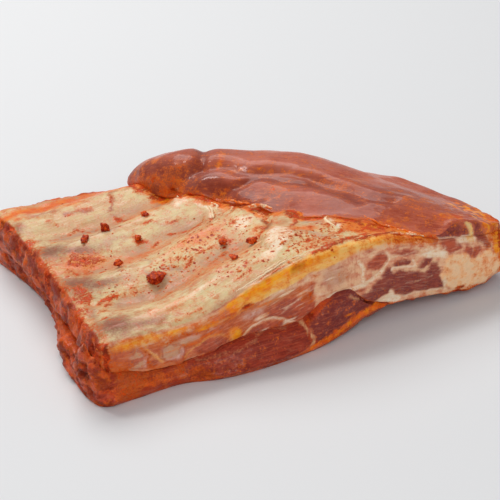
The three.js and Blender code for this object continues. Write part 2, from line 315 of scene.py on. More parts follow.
# %% Marks on a side
class Side:
    """A side of a piece to draw marks on: u and v are the places of its points along its two directions."""
    def __init__(self, u, v, softness=2.6):
        self.u, self.v, self.softness = u, v, softness

    def ramp(self, inside):
        """A soft step, one half where the signed distance inside a mark is 0."""
        return unit(0.5 + inside / self.softness)

    def reach(self, *points):
        """The distance from each place to a line of points."""
        best = np.full(len(self.u), 1e9)
        for (u0, v0), (u1, v1) in zip(points[:-1], points[1:]):
            du, dv = u1 - u0, v1 - v0
            t = unit(((self.u - u0) * du + (self.v - v0) * dv) / max(du * du + dv * dv, 1e-9))
            best = np.minimum(best, np.hypot(self.u - u0 - t * du, self.v - v0 - t * dv))
        return best

    def stroke(self, width, *points):
        return self.ramp(width / 2 - self.reach(*points))

    def local(self, cu, cv, ru, rv, turn):
        c, s = cos(radians(turn)), sin(radians(turn))
        du, dv = self.u - cu, self.v - cv
        return np.hypot((du * c + dv * s) / ru, (dv * c - du * s) / rv)

    def oval(self, cu, cv, ru, rv, turn=0.0):
        return self.ramp((1 - self.local(cu, cv, ru, rv, turn)) * min(ru, rv))

    def haze(self, cu, cv, ru, rv, turn=0.0):
        """A soft cloud, strongest in its middle."""
        return np.exp(-self.local(cu, cv, ru, rv, turn) ** 2)

    def area(self, *points):
        inside = np.zeros(len(self.u), bool)
        for (u0, v0), (u1, v1) in zip(points, points[1:] + points[:1]):
            if v0 != v1:
                crossing = (u1 - u0) * (self.v - v0) / (v1 - v0) + u0
                inside ^= ((v0 > self.v) != (v1 > self.v)) & (self.u < crossing)
        d = self.reach(*points, points[0])
        return self.ramp(np.where(inside, d, -d))


def most(*marks):
    return np.maximum.reduce(marks)


# %% [markdown]
# A shader node has sockets, and wiring many of them by hand is hard to read. This small class wraps a
# socket so that sums are written as in Python, and each sum adds its Math node. Every other kind of node
# comes from one method, which takes the node's type, its settings, and the values or links of its sockets.

# %% One class for node wiring
class Wire:
    def __init__(self, tree, socket=None):
        self.tree, self.socket = tree, socket

    def node(self, kind, settings=None, inputs=None, out=0):
        """Add a node, set it up, feed its sockets, and hand back one of its outputs."""
        made = self.tree.nodes.new(kind)
        for key, value in (settings or {}).items():
            setattr(made, key, value)
        self.feed(made, inputs or {})
        return Wire(self.tree, made.outputs[out])

    def feed(self, made, inputs):
        """Give the sockets of a node their values or links."""
        for key, value in inputs.items():
            if isinstance(value, Wire):
                self.tree.links.new(value.socket, made.inputs[key])
            else:
                made.inputs[key].default_value = value

    def also(self, out):
        """Another output of the same node."""
        return Wire(self.tree, self.socket.node.outputs[out])

    def math(self, operation, first, second):
        return self.node("ShaderNodeMath", {"operation": operation}, {0: first, 1: second})

    def __add__(self, other):
        return self.math("ADD", self, other)

    def __sub__(self, other):
        return self.math("SUBTRACT", self, other)

    def __rsub__(self, other):
        return self.math("SUBTRACT", other, self)

    def __mul__(self, other):
        return self.math("MULTIPLY", self, other)

    __radd__, __rmul__ = __add__, __mul__


# %% [markdown]
# New objects and new materials all start in the same way, so each start is written once.

# %% New objects and materials
def new_object(name, data):
    """An object at the origin, linked to the scene."""
    made = bpy.data.objects.new(name, data)
    bpy.context.scene.collection.objects.link(made)
    return made


def new_material(name):
    """A material, its main shader, and a wire over its nodes."""
    material = bpy.data.materials.new(name)
    material.use_nodes = True
    return material, material.node_tree.nodes["Principled BSDF"], Wire(material.node_tree)


def in_millimetres(wire):
    """The place on a piece, in millimetres."""
    place = wire.node("ShaderNodeTexCoord", out="Object")
    return place.node("ShaderNodeVectorMath", {"operation": "SCALE"}, {0: place, "Scale": 1 / MM})


# %% [markdown]
# Colours are read off as ordinary screen values from 0 to 255 and have to be made linear for the shader.

# %% Colours
def colour(red, green, blue):
    """A screen colour as a linear one with alpha."""
    parts = np.array([red, green, blue]) / 255
    linear = np.where(parts <= 0.04045, parts / 12.92, ((parts + 0.055) / 1.055) ** 2.4)
    return (*linear.tolist(), 1.0)


CREAM, TAN = colour(231, 211, 168), colour(221, 181, 138)
RIDGE, THREAD = colour(244, 226, 192), colour(184, 146, 120)
PINK_MEAT, GREY_VIOLET, CHAR = colour(206, 152, 118), colour(176, 142, 134), colour(134, 64, 46)
WHITE_FAT, YELLOW_FAT = colour(255, 238, 218), colour(255, 210, 136)
ORANGE_OIL, PASTE, DARK_PASTE = colour(236, 112, 20), colour(200, 66, 18), colour(128, 30, 8)
MUSCLE, DARK_MUSCLE, PURPLE = colour(210, 118, 90), colour(176, 94, 80), colour(142, 74, 74)
PALE_CUT, PINK_CUT = colour(246, 204, 168), colour(230, 160, 130)
GRISTLE, PEACH = colour(255, 218, 180), colour(255, 204, 156)
RAW_PLATE, RAW_RED = colour(216, 112, 88), colour(190, 76, 50)
DEPTH, SHADE_SHARE = 1.25, 0.7

# %% [markdown]
# Four grains of noise do most of the work: a slow drift, a mottle of a few millimetres, a fine grain, and
# strands drawn out along the fibres. The first three read the Object coordinates, scaled to millimetres, so
# a size in the shader is a size on the meat. The strands read a "flow" attribute, a place on the meat whose
# first direction follows the fibres, so they bend with the arch and run along the folds.


# %% Grains of noise and soft steps
def blend(share, under, over):
    """One colour laid over another by a share from 0 to 1."""
    return share.node("ShaderNodeMix", {"data_type": "RGBA"},
                      {"Factor": share, "A": under, "B": over}, out=2)


def soft_step(value, low, high):
    return value.node("ShaderNodeMapRange", {"interpolation_type": "SMOOTHSTEP"},
                      {"Value": value, "From Min": low, "From Max": high})


def grain(place, size, detail=3.0, rough=0.55, stretch=None):
    """Noise with lumps of a size in millimetres, drawn out along an axis where a stretch is given."""
    if stretch:
        place = place.node("ShaderNodeVectorMath", {"operation": "DIVIDE"}, {0: place, 1: stretch})
    return place.node("ShaderNodeTexNoise", {"noise_dimensions": "3D"},
                      {"Vector": place, "Scale": 1 / size, "Detail": detail, "Roughness": rough})


# %% [markdown]
# The marinade is made of three things: flecks of spice that stain the membrane round them, a thin film of
# orange oil, and grains of red paste where more was rubbed in. Each is a layer that a material can put over
# its paint.

# %% Spice and paste
SPICE_FLECKS = ((1.4, colour(232, 152, 78), colour(200, 90, 30)),
    (2.5, colour(228, 138, 66), colour(184, 66, 20)))
# The last colour here is painted shade, laid dark red into the gashes at the sawn end and into the crease at
# the torn step.
OIL_FILM, PASTE_GRAIN, CREVICE_SHADE = colour(228, 128, 44), colour(236, 108, 26), colour(92, 20, 10)
# Painted shade for the pits of sawn meat, and painted light for its lumps.
PIT_SHADE, LUMP_LIGHT = colour(136, 40, 20), colour(224, 106, 52)


def spice_stains(paint, place, spice, fine):
    """Flecks of two sizes in millimetres, each a red core in an orange halo."""
    bent = place.node("ShaderNodeTexNoise", inputs={"Vector": place, "Scale": 0.9, "Detail": 3.0},
        out="Color")
    bent = bent.node("ShaderNodeVectorMath", {"operation": "MULTIPLY_ADD"},
        {0: bent, 1: (2.2, 2.2, 2.2), 2: place})
    for size, halo, core in SPICE_FLECKS:
        cells = place.node("ShaderNodeTexVoronoi", {"feature": "F1"}, {"Vector": bent, "Scale": 1 / size})
        lot = place.node("ShaderNodeSeparateColor", inputs={"Color": cells.also("Color")})
        radius = soft_step(spice * 1.15 - lot, 0.0, 0.35) * 0.36
        edge = radius - cells + (fine - 0.5) * 0.3
        paint = blend(soft_step(edge, -0.16, 0.1) * 0.5, paint, halo)
        paint = blend(soft_step(edge, 0.06, 0.14), paint, core)
    return paint


def red_paste(paint, red, mottle, fine, strand):
    """A film of oil and grains of paste over the paint, and the share that the paste covers."""
    smudge = red + (mottle + fine - 1) * 1.2 + (strand - 0.5) * 0.5
    film, paste = soft_step(smudge, 0.05, 0.6), soft_step(smudge, 0.42, 0.76)
    grains = blend(soft_step(mottle * 0.7 + fine * 0.3, 0.36, 0.6), DARK_PASTE, PASTE)
    grains = blend(soft_step(fine * 0.4 + strand * 0.3 + mottle * 0.3, 0.48, 0.62) * 0.7, grains, PASTE_GRAIN)
    return blend(paste * 0.88, blend(film * 0.6, paint, OIL_FILM), grains), paste


def raw_pits(paint, place, raw, fine):
    """Painted shade in the pits and painted light on the lumps of sawn meat, and the lumps for the relief."""
    chunk = soft_step(grain(place, 5, 5, 0.6, (1.5, 1.5, 1)), 0.38, 0.56)
    paint = blend((1 - chunk) * raw * 0.72, paint, PIT_SHADE)
    return blend(soft_step(chunk + fine - 0.5, 0.7, 1.1) * raw * 0.5, paint, LUMP_LIGHT), chunk * raw


# %% [markdown]
# Raw meat is one kind of surface with many colours: a base that drifts between tones, layers of other
# tissue over it, the marinade, and a wet gloss. Some layers also carry painted shade in creases and pits,
# and painted light and sheen on ridges and domes. One maker builds every meat material, and each piece names
# its tones and its layers. A last shade by fine grain keeps any tone from lying flat.

# %% A maker for meat materials
WET_MEAT = {"Coat Roughness": 0.12, "Coat IOR": 1.4, "Subsurface Radius": (1.0, 0.35, 0.2),
            "Subsurface Scale": 0.0015, "Specular IOR Level": 0.16, "Specular Tint": (1.0, 0.8, 0.64, 1.0)}


def make_meat(name, tones, layers, threads=(), wet=0.5, patchy=1.0, roughness=0.45, bump=0.5, glow=0.1):
    """tones: three base colours and one for thin lines. layers: (attribute, colour, colour, softness, ragged,
    cover, fibrous). threads: (attribute, colour, amount) of fine lines along the fibres."""
    material, shader, wire = new_material(name)
    place = in_millimetres(wire)
    flow = wire.node("ShaderNodeAttribute", {"attribute_name": "flow"}, out="Vector")
    drift, mottle, fine = grain(place, 13), grain(place, 3, 4), grain(place, 0.8, 3, 0.6)
    hair = grain(flow, 0.5, 2, 0.6, (36, 1, 1))

    def mark(key):
        return wire.node("ShaderNodeAttribute", {"attribute_name": key}, out="Fac")
    along, upright = grain(flow, 1.0, 3, 0.6, (6, 1, 1)), grain(flow, 1.0, 3, 0.6, (1, 1, 4))
    strand = along + (upright - along) * mark("upright")
    ragged_edge = mottle + fine - 1
    paint = blend(soft_step(drift * 0.6 + mottle * 0.4, 0.4, 0.6), *tones[:2])
    paint = blend(soft_step(strand, 0.46, 0.64) * 0.6, paint, tones[2])
    paint = blend(soft_step(hair, 0.52, 0.7) * 0.22, paint, tones[3])
    for key, light, deep, softness, ragged, cover, fibrous in layers:
        frayed = mark(key) + (ragged_edge + (strand - 0.5) * fibrous) * ragged
        share = soft_step(frayed, 0.5 - softness, 0.5 + softness)
        inner = blend(soft_step(mottle * (1 - fibrous) + strand * fibrous, 0.4, 0.6), light, deep)
        paint = blend(share * cover, paint, inner)
    for key, tone, amount in threads:
        paint = blend(soft_step(hair, 0.54, 0.64) * mark(key) * amount, paint, tone)

    paint = spice_stains(paint, place, mark("spice"), fine)
    paint, paste = red_paste(paint, mark("red"), mottle, fine, strand)
    # Painted shade: dark red in the gashes and creases.
    paint = blend(mark("shaded_gash") * 0.9, paint, CREVICE_SHADE)
    # Painted shade in the pits and painted light on the lumps of the sawn ends.
    paint, pitted = raw_pits(paint, place, mark("raw"), fine)
    shade = 0.68 + 0.64 * (fine * 0.5 + mottle * 0.5)
    paint = shade.node("ShaderNodeMix", {"data_type": "RGBA", "blend_type": "MULTIPLY"},
                       {"Factor": SHADE_SHARE, "A": paint, "B": shade}, out=2)
    paint = paint.node("ShaderNodeGamma", inputs={"Color": paint, "Gamma": DEPTH})

    gloss = roughness + (mottle - 0.5) * 0.45 + paste * 0.1
    puddles = soft_step(drift * 0.4 + mottle * 0.6, 0.45, 0.6)
    coat = (1 - patchy + puddles * patchy) * (1 - paste * 0.7) * wet
    height = (mottle * 0.6 + fine * 0.25 + strand * 0.45 + hair * 0.15 + paste * (0.2 + fine * 0.7)
              + pitted * 1.6)
    relief = wire.node("ShaderNodeBump", inputs={"Strength": bump, "Distance": 0.0007, "Height": height})
    wire.feed(shader, {"Base Color": paint, "Roughness": gloss, "Coat Weight": coat, "Normal": relief,
                       "Subsurface Weight": glow, **WET_MEAT})
    print(name, "has", len(wire.tree.nodes), "nodes")
    return material


# %% [markdown]
# Every finished piece stays at the origin with its place in its mesh, carries its marks as attributes,
# rides on the one body of this part, and hides the solids that it stands for, where there are any.

# %% Turn points into a piece
MARKS = ("upright", "spice", "red", "cut", "pink", "bruise_and_shade", "grey", "char", "plate", "muscle", "dark",
    "gristle", "white", "rust", "pearl", "raw", "gold", "yellow", "orange", "shaded_gash", "tint")


def place_piece(piece, stands_for=()):
    """Tell the frame about a finished piece."""
    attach(piece, "root")
    if stands_for:
        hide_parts(*stands_for)
    corners = np.array([corner[:] for corner in piece.bound_box]) / MM
    size = corners.max(axis=0) - corners.min(axis=0)
    print(f"{piece.name}: {len(piece.data.polygons)} faces, {size[0]:.0f} x {size[1]:.0f} x {size[2]:.0f} mm")
    return piece


def add_mark(mesh, key, values):
    """Keep a value from 0 to 1 on every point of a mesh."""
    mesh.attributes.new(key, "FLOAT", "POINT").data.foreach_set("value", unit(values).astype(np.float32))


def marked_mesh(name, points, faces, marks, material):
    """A smooth mesh from drawing points, with its marks."""
    mesh = bpy.data.meshes.new(name)
    mesh.from_pydata(to_metres(points).tolist(), [], faces.tolist())
    mesh.polygons.foreach_set("use_smooth", np.ones(len(mesh.polygons), bool))
    for key in MARKS:
        if key in marks:
            add_mark(mesh, key, marks[key])
    mesh.materials.append(material)
    return mesh


def make_piece(name, points, faces, marks, flow, material, stands_for=()):
    mesh = marked_mesh(name, points, faces, marks, material)
    attribute = mesh.attributes.new("flow", "FLOAT_VECTOR", "POINT")
    attribute.data.foreach_set("vector", np.stack(flow, -1).astype(np.float32).ravel())
    return place_piece(new_object(name, mesh), stands_for)


# %% [markdown]
# ## The slab
# The slab shows three sides: the membrane on top, the cut in front and the sawn end at the left. Each point
# is given to the side that it faces, so that the marks of one side don't run over the others. The places
# are shifted a little by noise before the marks are drawn, so no mark keeps a drawn edge.

# %% The slab's fine mesh and its sides
SLAB_CELLS = (290, 96, 36)
slab_points, slab_faces, slab_up = body(SLAB, SLAB_CELLS)
slab_out = outward(slab_points, slab_faces)
x, y, z = slab_points.T
on_top = ease((slab_out[:, 2] - 0.25) / 0.35)
on_cut = ease((-slab_out[:, 1] - 0.35) / 0.3)
on_west = ease((-slab_out[:, 0] - 0.3) / 0.4)
hidden = most(ease((slab_out[:, 1] - 0.3) / 0.4), ease((-slab_out[:, 2] - 0.25) / 0.3),
    ease((slab_out[:, 0] - 0.35) / 0.3))
wobble = np.stack([many_lumps(slab_points, 6, 3, seed) for seed in (1, 2, 3)], -1)
u, v, w = (slab_points + wobble * [1.8, 1.3, 0.4]).T
top, cut = Side(u, v), Side(u, w, 2.0)

# %% [markdown]
# Marinade on the membrane: a brown-red band along the sawn rim, dark grey-brown patches where the ribs end,
# and smears that were dragged along the ribs.

# %% Red paste on the membrane
rim_line = curve((0, 9), (18, 8), (35, 9.5), (46, 8.5), (59, 11), (76, 10.5), (89, 12), (102, 10),
    (114, 6.5), (140, 4))
drops = [(57, 81, 1.4, 1.0), (50, 71.5, 1.2, 0.8), (52.5, 66.5, 1.5, 1.0), (67, 77, 1.8, 0.9),
    (54, 68, 1.4, 0.8), (78.5, 64, 1.4, 1.0), (74.5, 23, 1.1, 0.9), (66.5, 9.5, 2.0, 1.0),
    (65.5, 13, 0.9, 0.9), (70, 10.5, 0.9, 1.2), (71, 15, 0.9, 0.7), (73.5, 12.5, 1.3, 0.8),
    (93.5, 2.5, 1.2, 0.8), (18, 93.5, 0.8, 0.8), (26.5, 36, 1.0, 0.8), (28, 35, 1.1, 0.8),
    (32.5, 38, 1.2, 0.6), (26, 58, 1.4, 0.8), (21, 61.5, 1.4, 0.7), (14.5, 63.5, 1.5, 1.0),
    (64.5, 115.5, 1.0, 1.6), (70, 33.5, 1.6, 1.0), (65.5, 76.5, 1.6, 0.9), (31.5, 35, 1.8, 0.7),
    (32, 23.5, 1.2, 0.6), (16, 27, 1.4, 0.8), (21, 24, 1.0, 0.6), (12.5, 20, 1.2, 0.8), (46, 61, 0.8, 0.6),
    (60, 52, 0.9, 0.6), (92, 21, 0.9, 0.6), (88, 15, 0.8, 0.6), (96, 13, 1.6, 0.8), (99, 19, 1.5, 0.6),
    (102, 22, 1.2, 0.6)]
smears = [(2.4, (16.5, 33), (20, 35.5), (24, 36)), (1.8, (17, 30), (21, 32)),
    (2.2, (13, 62), (16, 60.5), (19, 61)), (2.0, (49.5, 103), (50, 97), (50.5, 93)),
    (1.5, (31.5, 112), (35, 113), (39, 114.5), (43, 114)), (1.8, (51.5, 113.5), (55, 118)),
    (1.3, (34, 100), (36.5, 99.5), (40, 99)), (1.6, (47, 77.5), (48.5, 73), (51.5, 70)),
    (1.2, (60, 69), (64.5, 66.5), (69.5, 65.5), (73, 66.5), (76.5, 68)), (1.5, (68, 64), (72, 66)),
    (1.6, (83.5, 57), (87.5, 61.5), (89.5, 64)), (1.8, (72.5, 49), (72.7, 43), (75, 39.5)),
    (1.6, (81.5, 50.5), (82.5, 47.5)), (2.0, (96.5, 26.5), (99, 29.5), (101, 30.5)),
    (1.0, (92, 40), (87.5, 33), (83.5, 28)), (0.7, (54.5, 44), (57, 40.5), (60.5, 38.5)),
    (0.9, (36.5, 5.0), (42, 5.6), (47, 4.8)), (0.8, (20, 116), (22.5, 111.5), (26, 108)),
    (1.4, (28, 101), (32, 101.5)), (0.9, (48, 44.5), (54, 43)), (1.6, (100, 10), (106, 12), (112, 14)),
    (2.2, (104, 6), (112, 7), (120, 7)), (2.4, (112, 3.5), (122, 4.5), (132, 3)),
    (2.0, (117, 12), (124, 11), (131, 8)), (1.4, (98, 5), (103, 4.5)),
    (1.6, (108, 20), (113, 18.5), (118, 19)), (2.0, (120, 16), (126, 13)),
    (1.4, (101, 33), (106, 36), (112, 34)), (1.6, (94, 44), (99, 42), (104, 41)),
    (0.7, (70, 4.6), (78, 5.2), (86, 4.6)), (1.6, (96, 2.6), (101, 3), (107, 4.6), (114, 7)),
    (1.2, (68, 41.5), (60, 39.5), (55, 38)), (1.0, (62, 31), (69, 34), (75, 34)),
    (1.4, (86, 29), (90, 37), (92, 43)), (1.2, (120, 21), (126, 15), (131, 12)),
    (0.9, (40, 27), (48, 28.5), (55, 28))]
strength = 0.66 + 0.34 * dice.random(len(smears))
top_red = most(0.8 * unit(0.5 + (rim_line(v) - 1.6 + 4.0 * many_lumps(slab_points, 8, 2, 4) - u) / 9),
    0.62 * top.area((15, 70), (17, 76), (22, 77), (27, 73.5), (32, 68), (27, 65), (20.5, 66)),
    0.6 * top.area((8, 35), (8, 48), (14, 50), (16, 40), (13, 33)),
    0.55 * top.area((84, 28), (86, 38.5), (91, 39), (89, 34)), 0.6 * top.haze(126, 10, 14, 6, -20),
    0.5 * top.haze(100, 8, 12, 5), 0.5 * top.haze(110, 38, 8, 3, -20), *[top.oval(*drop) for drop in drops],
    *[share * top.stroke(*smear) for share, smear in zip(strength, smears)])
print("drops and smears on the membrane:", len(drops) + len(smears))

# %% [markdown]
# Under the paste the membrane itself changes colour: grey-violet sheets, pink where it is thin, orange oil at
# the far edge and by the skirt, and white torn fat where the skirt was pulled back. The grey, pink and
# red-brown laid along the grooves between the ribs is painted shade, and three pale strokes along the rib
# tops are painted light.

# %% Other tissue on the membrane
# Painted shade: the groove mask darkens the grooves between the ribs through the grey and pink marks, and it
# also sinks them in the relief.
groove = (1 - over_rib(x, y + 2)) ** 2 * unit((x - 14) / 10) * unit((88 - x) / 12)
# Grey-violet patches, with painted shade in the grooves: the groove term and the thin haze along the rib at y
# 21.
top_grey = most(0.85 * top.stroke(2.2, (19, 81), (24, 76), (30, 74)),
    0.8 * top.stroke(2.6, (40, 43.5), (44.5, 39.5), (49, 34.5)),
    0.8 * top.stroke(3.0, (46.5, 43.5), (51.5, 39), (56, 33)), 0.9 * top.stroke(0.9, (43, 56), (44.5, 50)),
    0.6 * top.haze(38, 79, 9, 4), 0.6 * top.haze(28, 33, 5, 3),
    0.75 * top.area((102, 30), (107, 35.5), (111.5, 35), (112.5, 29), (108.5, 24), (104, 26)),
    0.7 * top.stroke(3.4, (97.5, 21), (101, 16), (106, 10)), 0.6 * top.haze(56, 103, 12, 6),
    0.5 * top.haze(66, 75, 9, 4), 0.5 * top.haze(24, 98, 14, 5), 0.5 * top.haze(48, 21, 14, 2),
    0.95 * top.stroke(0.9, (84.5, 2.2), (88, 0.8)),
    0.75 * groove * unit(0.7 + lumps(slab_points, (14, 6, 6), 5)))
top_char = most(top.haze(13, 83, 10, 9, -20), top.haze(13, 50, 10, 12), 0.9 * top.haze(20, 45, 12, 4),
    top.haze(13, 12, 11, 8, -20), 0.9 * top.haze(24, 78, 11, 3.4, -15), 0.7 * top.haze(24, 8, 12, 3),
    0.75 * top.haze(8, 112, 4, 6), 0.6 * top.haze(11, 28, 3, 7))
# Red-brown streaks; the thin hazes that run along the ribs are painted shade in the grooves.
top_bruise_and_shade = most(0.9 * top.stroke(3, (31, 114), (37, 113.5), (42, 113)),
    0.85 * top.stroke(2.6, (50, 109), (52.5, 114), (56, 120)),
    0.9 * top.stroke(2.8, (50, 104), (50, 96), (51, 93)), 0.8 * top.stroke(2.4, (30, 102.5), (38, 98)),
    0.7 * top.haze(40, 88, 14, 3), 0.6 * top.haze(24, 120, 12, 3),
    0.8 * top.area((86, 29), (90, 32), (93, 41), (91, 44), (88.5, 38)),
    0.75 * top.stroke(3, (98, 41.5), (104, 39), (110, 37)),
    0.7 * top.stroke(3.4, (112, 24), (119, 15), (126, 8)),
    0.8 * top.stroke(2.4, (100, 3.2), (107, 5.4), (114, 7.4)), 0.5 * top.haze(67, 67, 8, 2),
    0.5 * top.haze(30, 52, 10, 2), 0.6 * top.haze(52, 26, 16, 2, 6))
# Pink where the membrane is thin; the groove term and the thin haze at y 57 are painted shade.
top_pink = most(groove, 0.5 * top.haze(45, 57, 16, 3), 0.6 * top.haze(38, 96, 24, 6),
    0.7 * top.haze(96, 34, 6, 7), 0.5 * top.haze(70, 70, 10, 8), 0.6 * top.haze(26, 104, 16, 6),
    0.55 * top.haze(66, 30, 16, 5, 10), 0.8 * top.haze(6, 126, 6, 12))
top_orange = most(ease((v - 113) / 14) * unit((80 - u) / 8) * unit(0.7 + lumps(slab_points, (14, 6, 6), 6)),
    top.haze(36, 133, 9, 5), 0.9 * top.haze(57, 136, 7, 6),
    top.area((30, 134), (35, 135.5), (41, 134), (44, 132), (42, 127), (36, 128.5)),
    0.9 * top.haze(52, 132, 10, 4), top.stroke(3.4, (76, 103), (81, 98), (85, 90), (86, 80), (88, 73)),
    top.stroke(3.0, (88, 73), (90, 64), (90.5, 53), (92, 47)),
    top.stroke(2.2, (118, 22), (126, 14), (134, 7), (142, 2)), 0.8 * top.haze(100, 22, 8, 3, -30),
    0.85 * top.haze(78, 96, 6, 12), 0.6 * top.haze(88, 66, 4, 12), 0.7 * top.haze(66, 50, 16, 6),
    0.5 * top.haze(62, 26, 26, 8), 0.8 * top.haze(22, 70, 12, 8), 0.9 * top.haze(128, 8, 14, 8),
    0.5 * top.haze(88, 34, 8, 8), 0.8 * top.haze(72, 126, 6, 14), 0.55 * top.haze(46, 62, 18, 6),
    0.5 * top.haze(58, 94, 14, 8), 0.9 * top.haze(97, 47, 5, 4), 0.75 * top.stroke(4, *SKIRT_FRONT),
    0.6 * top.haze(118, 22, 10, 6), 0.4 * top.haze(36, 12, 14, 5))
top_white_and_highlight = most(top.area((70, 84), (74, 96), (73, 106), (76.5, 104), (79, 92), (76, 84)),
    top.stroke(1.8, (79.5, 81.5), (82, 74), (80, 67)), top.stroke(1.5, (83.5, 76), (86, 69)),
    0.85 * top.area((84.5, 25), (90.5, 30), (95, 28), (94, 18), (86, 12), (78, 10), (76, 15), (81, 17)),
    0.8 * top.area((84, 40), (80, 46), (84, 52), (90, 48)),
    top.area((113.5, 30), (110.5, 23), (109.5, 15.5), (114, 14.5), (118, 19), (113.5, 22.5)),
    0.95 * top.stroke(1.0, (63.5, 3.6), (69, 3.2), (74, 3.7), (79, 4.2), (85, 3.6)),
    0.8 * top.stroke(1.0, (56, 1.2), (64, 1.0), (73, 1.4)),
    # Painted light: these three broad strokes lie along the rib tops at y 12, 49 and 86, on the slopes that
    # face the lamp.
    0.7 * top.stroke(2.6, (22, 12), (38, 13), (58, 15)),
    0.6 * top.stroke(3.0, (22, 84), (40, 86), (62, 88)),
    0.55 * top.stroke(3.0, (24, 49), (40, 49), (58, 51)), top.oval(95, 48, 2.6, 1.6))
spice = most(0.8 * top.haze(48, 42, 30, 12), top.haze(24, 70, 12, 8), top.haze(98, 14, 18, 12),
    0.85 * top.haze(72, 46, 20, 18), 0.14 + 0 * u, 0.9 * top.haze(42, 38, 12, 6),
    0.7 * top.haze(70, 16, 20, 8), 0.6 * top.haze(78, 60, 12, 12))

# %% [markdown]
# The cut shows the tissues in layers. The marks are drawn in the cut's own plane, X along it and Z up: pale
# mottled rib meat, a yellow fat line under the membrane, muscles with white seams between them, and the
# breast cartilage at the right. The skirt's cut end lies in the same plane, so the marks are made by one
# function.


# %% Marks on the cut
FAT_UPPER = [(56, 26), (59.5, 29.5), (63, 31.5), (67, 34), (72.5, 35), (77.5, 35.3), (84, 36), (95, 37.2),
    (106.5, 38.8), (118.5, 38), (127, 35.5)]
FAT_LOWER = [(128, 33.4), (119, 34.6), (113.5, 34.2), (108, 34), (104.5, 33), (96, 31.4), (90.5, 31.4),
    (86, 29.6), (77.5, 27.6), (71.5, 27), (68, 25.4), (64, 26), (59, 23.4)]
FAT_ON_TOP = [(54, -1), (60, 1.4), (68, 2.6), (77, 3.0), (86, 2.6), (95, 2.4), (104, 2.8), (112, 3.4),
    (120, 3.6), (130, 2.4), (130, -2)]
FAT_LINE = [(8, 21.5), (11.5, 22.5), (17.5, 22.5), (23.5, 23), (29, 21.5), (35.5, 22), (41.5, 21),
    (49.5, 23.5), (56, 26), (60.5, 28)]
WHITE_SEAM = [(60.5, 12.5), (65, 15.5), (69, 17), (73.5, 16.5), (78, 15), (82, 12.6), (85, 11.8),
    (89.5, 13), (93.5, 15), (95, 17), (97.5, 19), (101, 19.5), (107.5, 19.3), (113, 19), (117.5, 21),
    (120.5, 23), (123.5, 24.8), (125.3, 27), (125, 31)]
GRISTLE_EDGE = [(150.5, 20), (150, 12), (151.5, 9), (153.5, 6.3), (159.5, 5.2), (169.5, 5), (175, 7.5),
    (177.5, 11), (176.5, 16), (172, 20), (167.5, 17.3), (163, 17.3), (159, 20.5), (155.5, 21.8),
    (152.5, 21.8)]
PEARL_BLOBS = ([(14, 17), (17, 20), (19.5, 18.5), (21, 14.5), (20, 11), (16, 12.5)],
               [(26, 17.5), (30.5, 18.5), (36, 16.5), (37, 13), (34.5, 10), (28.5, 12)])


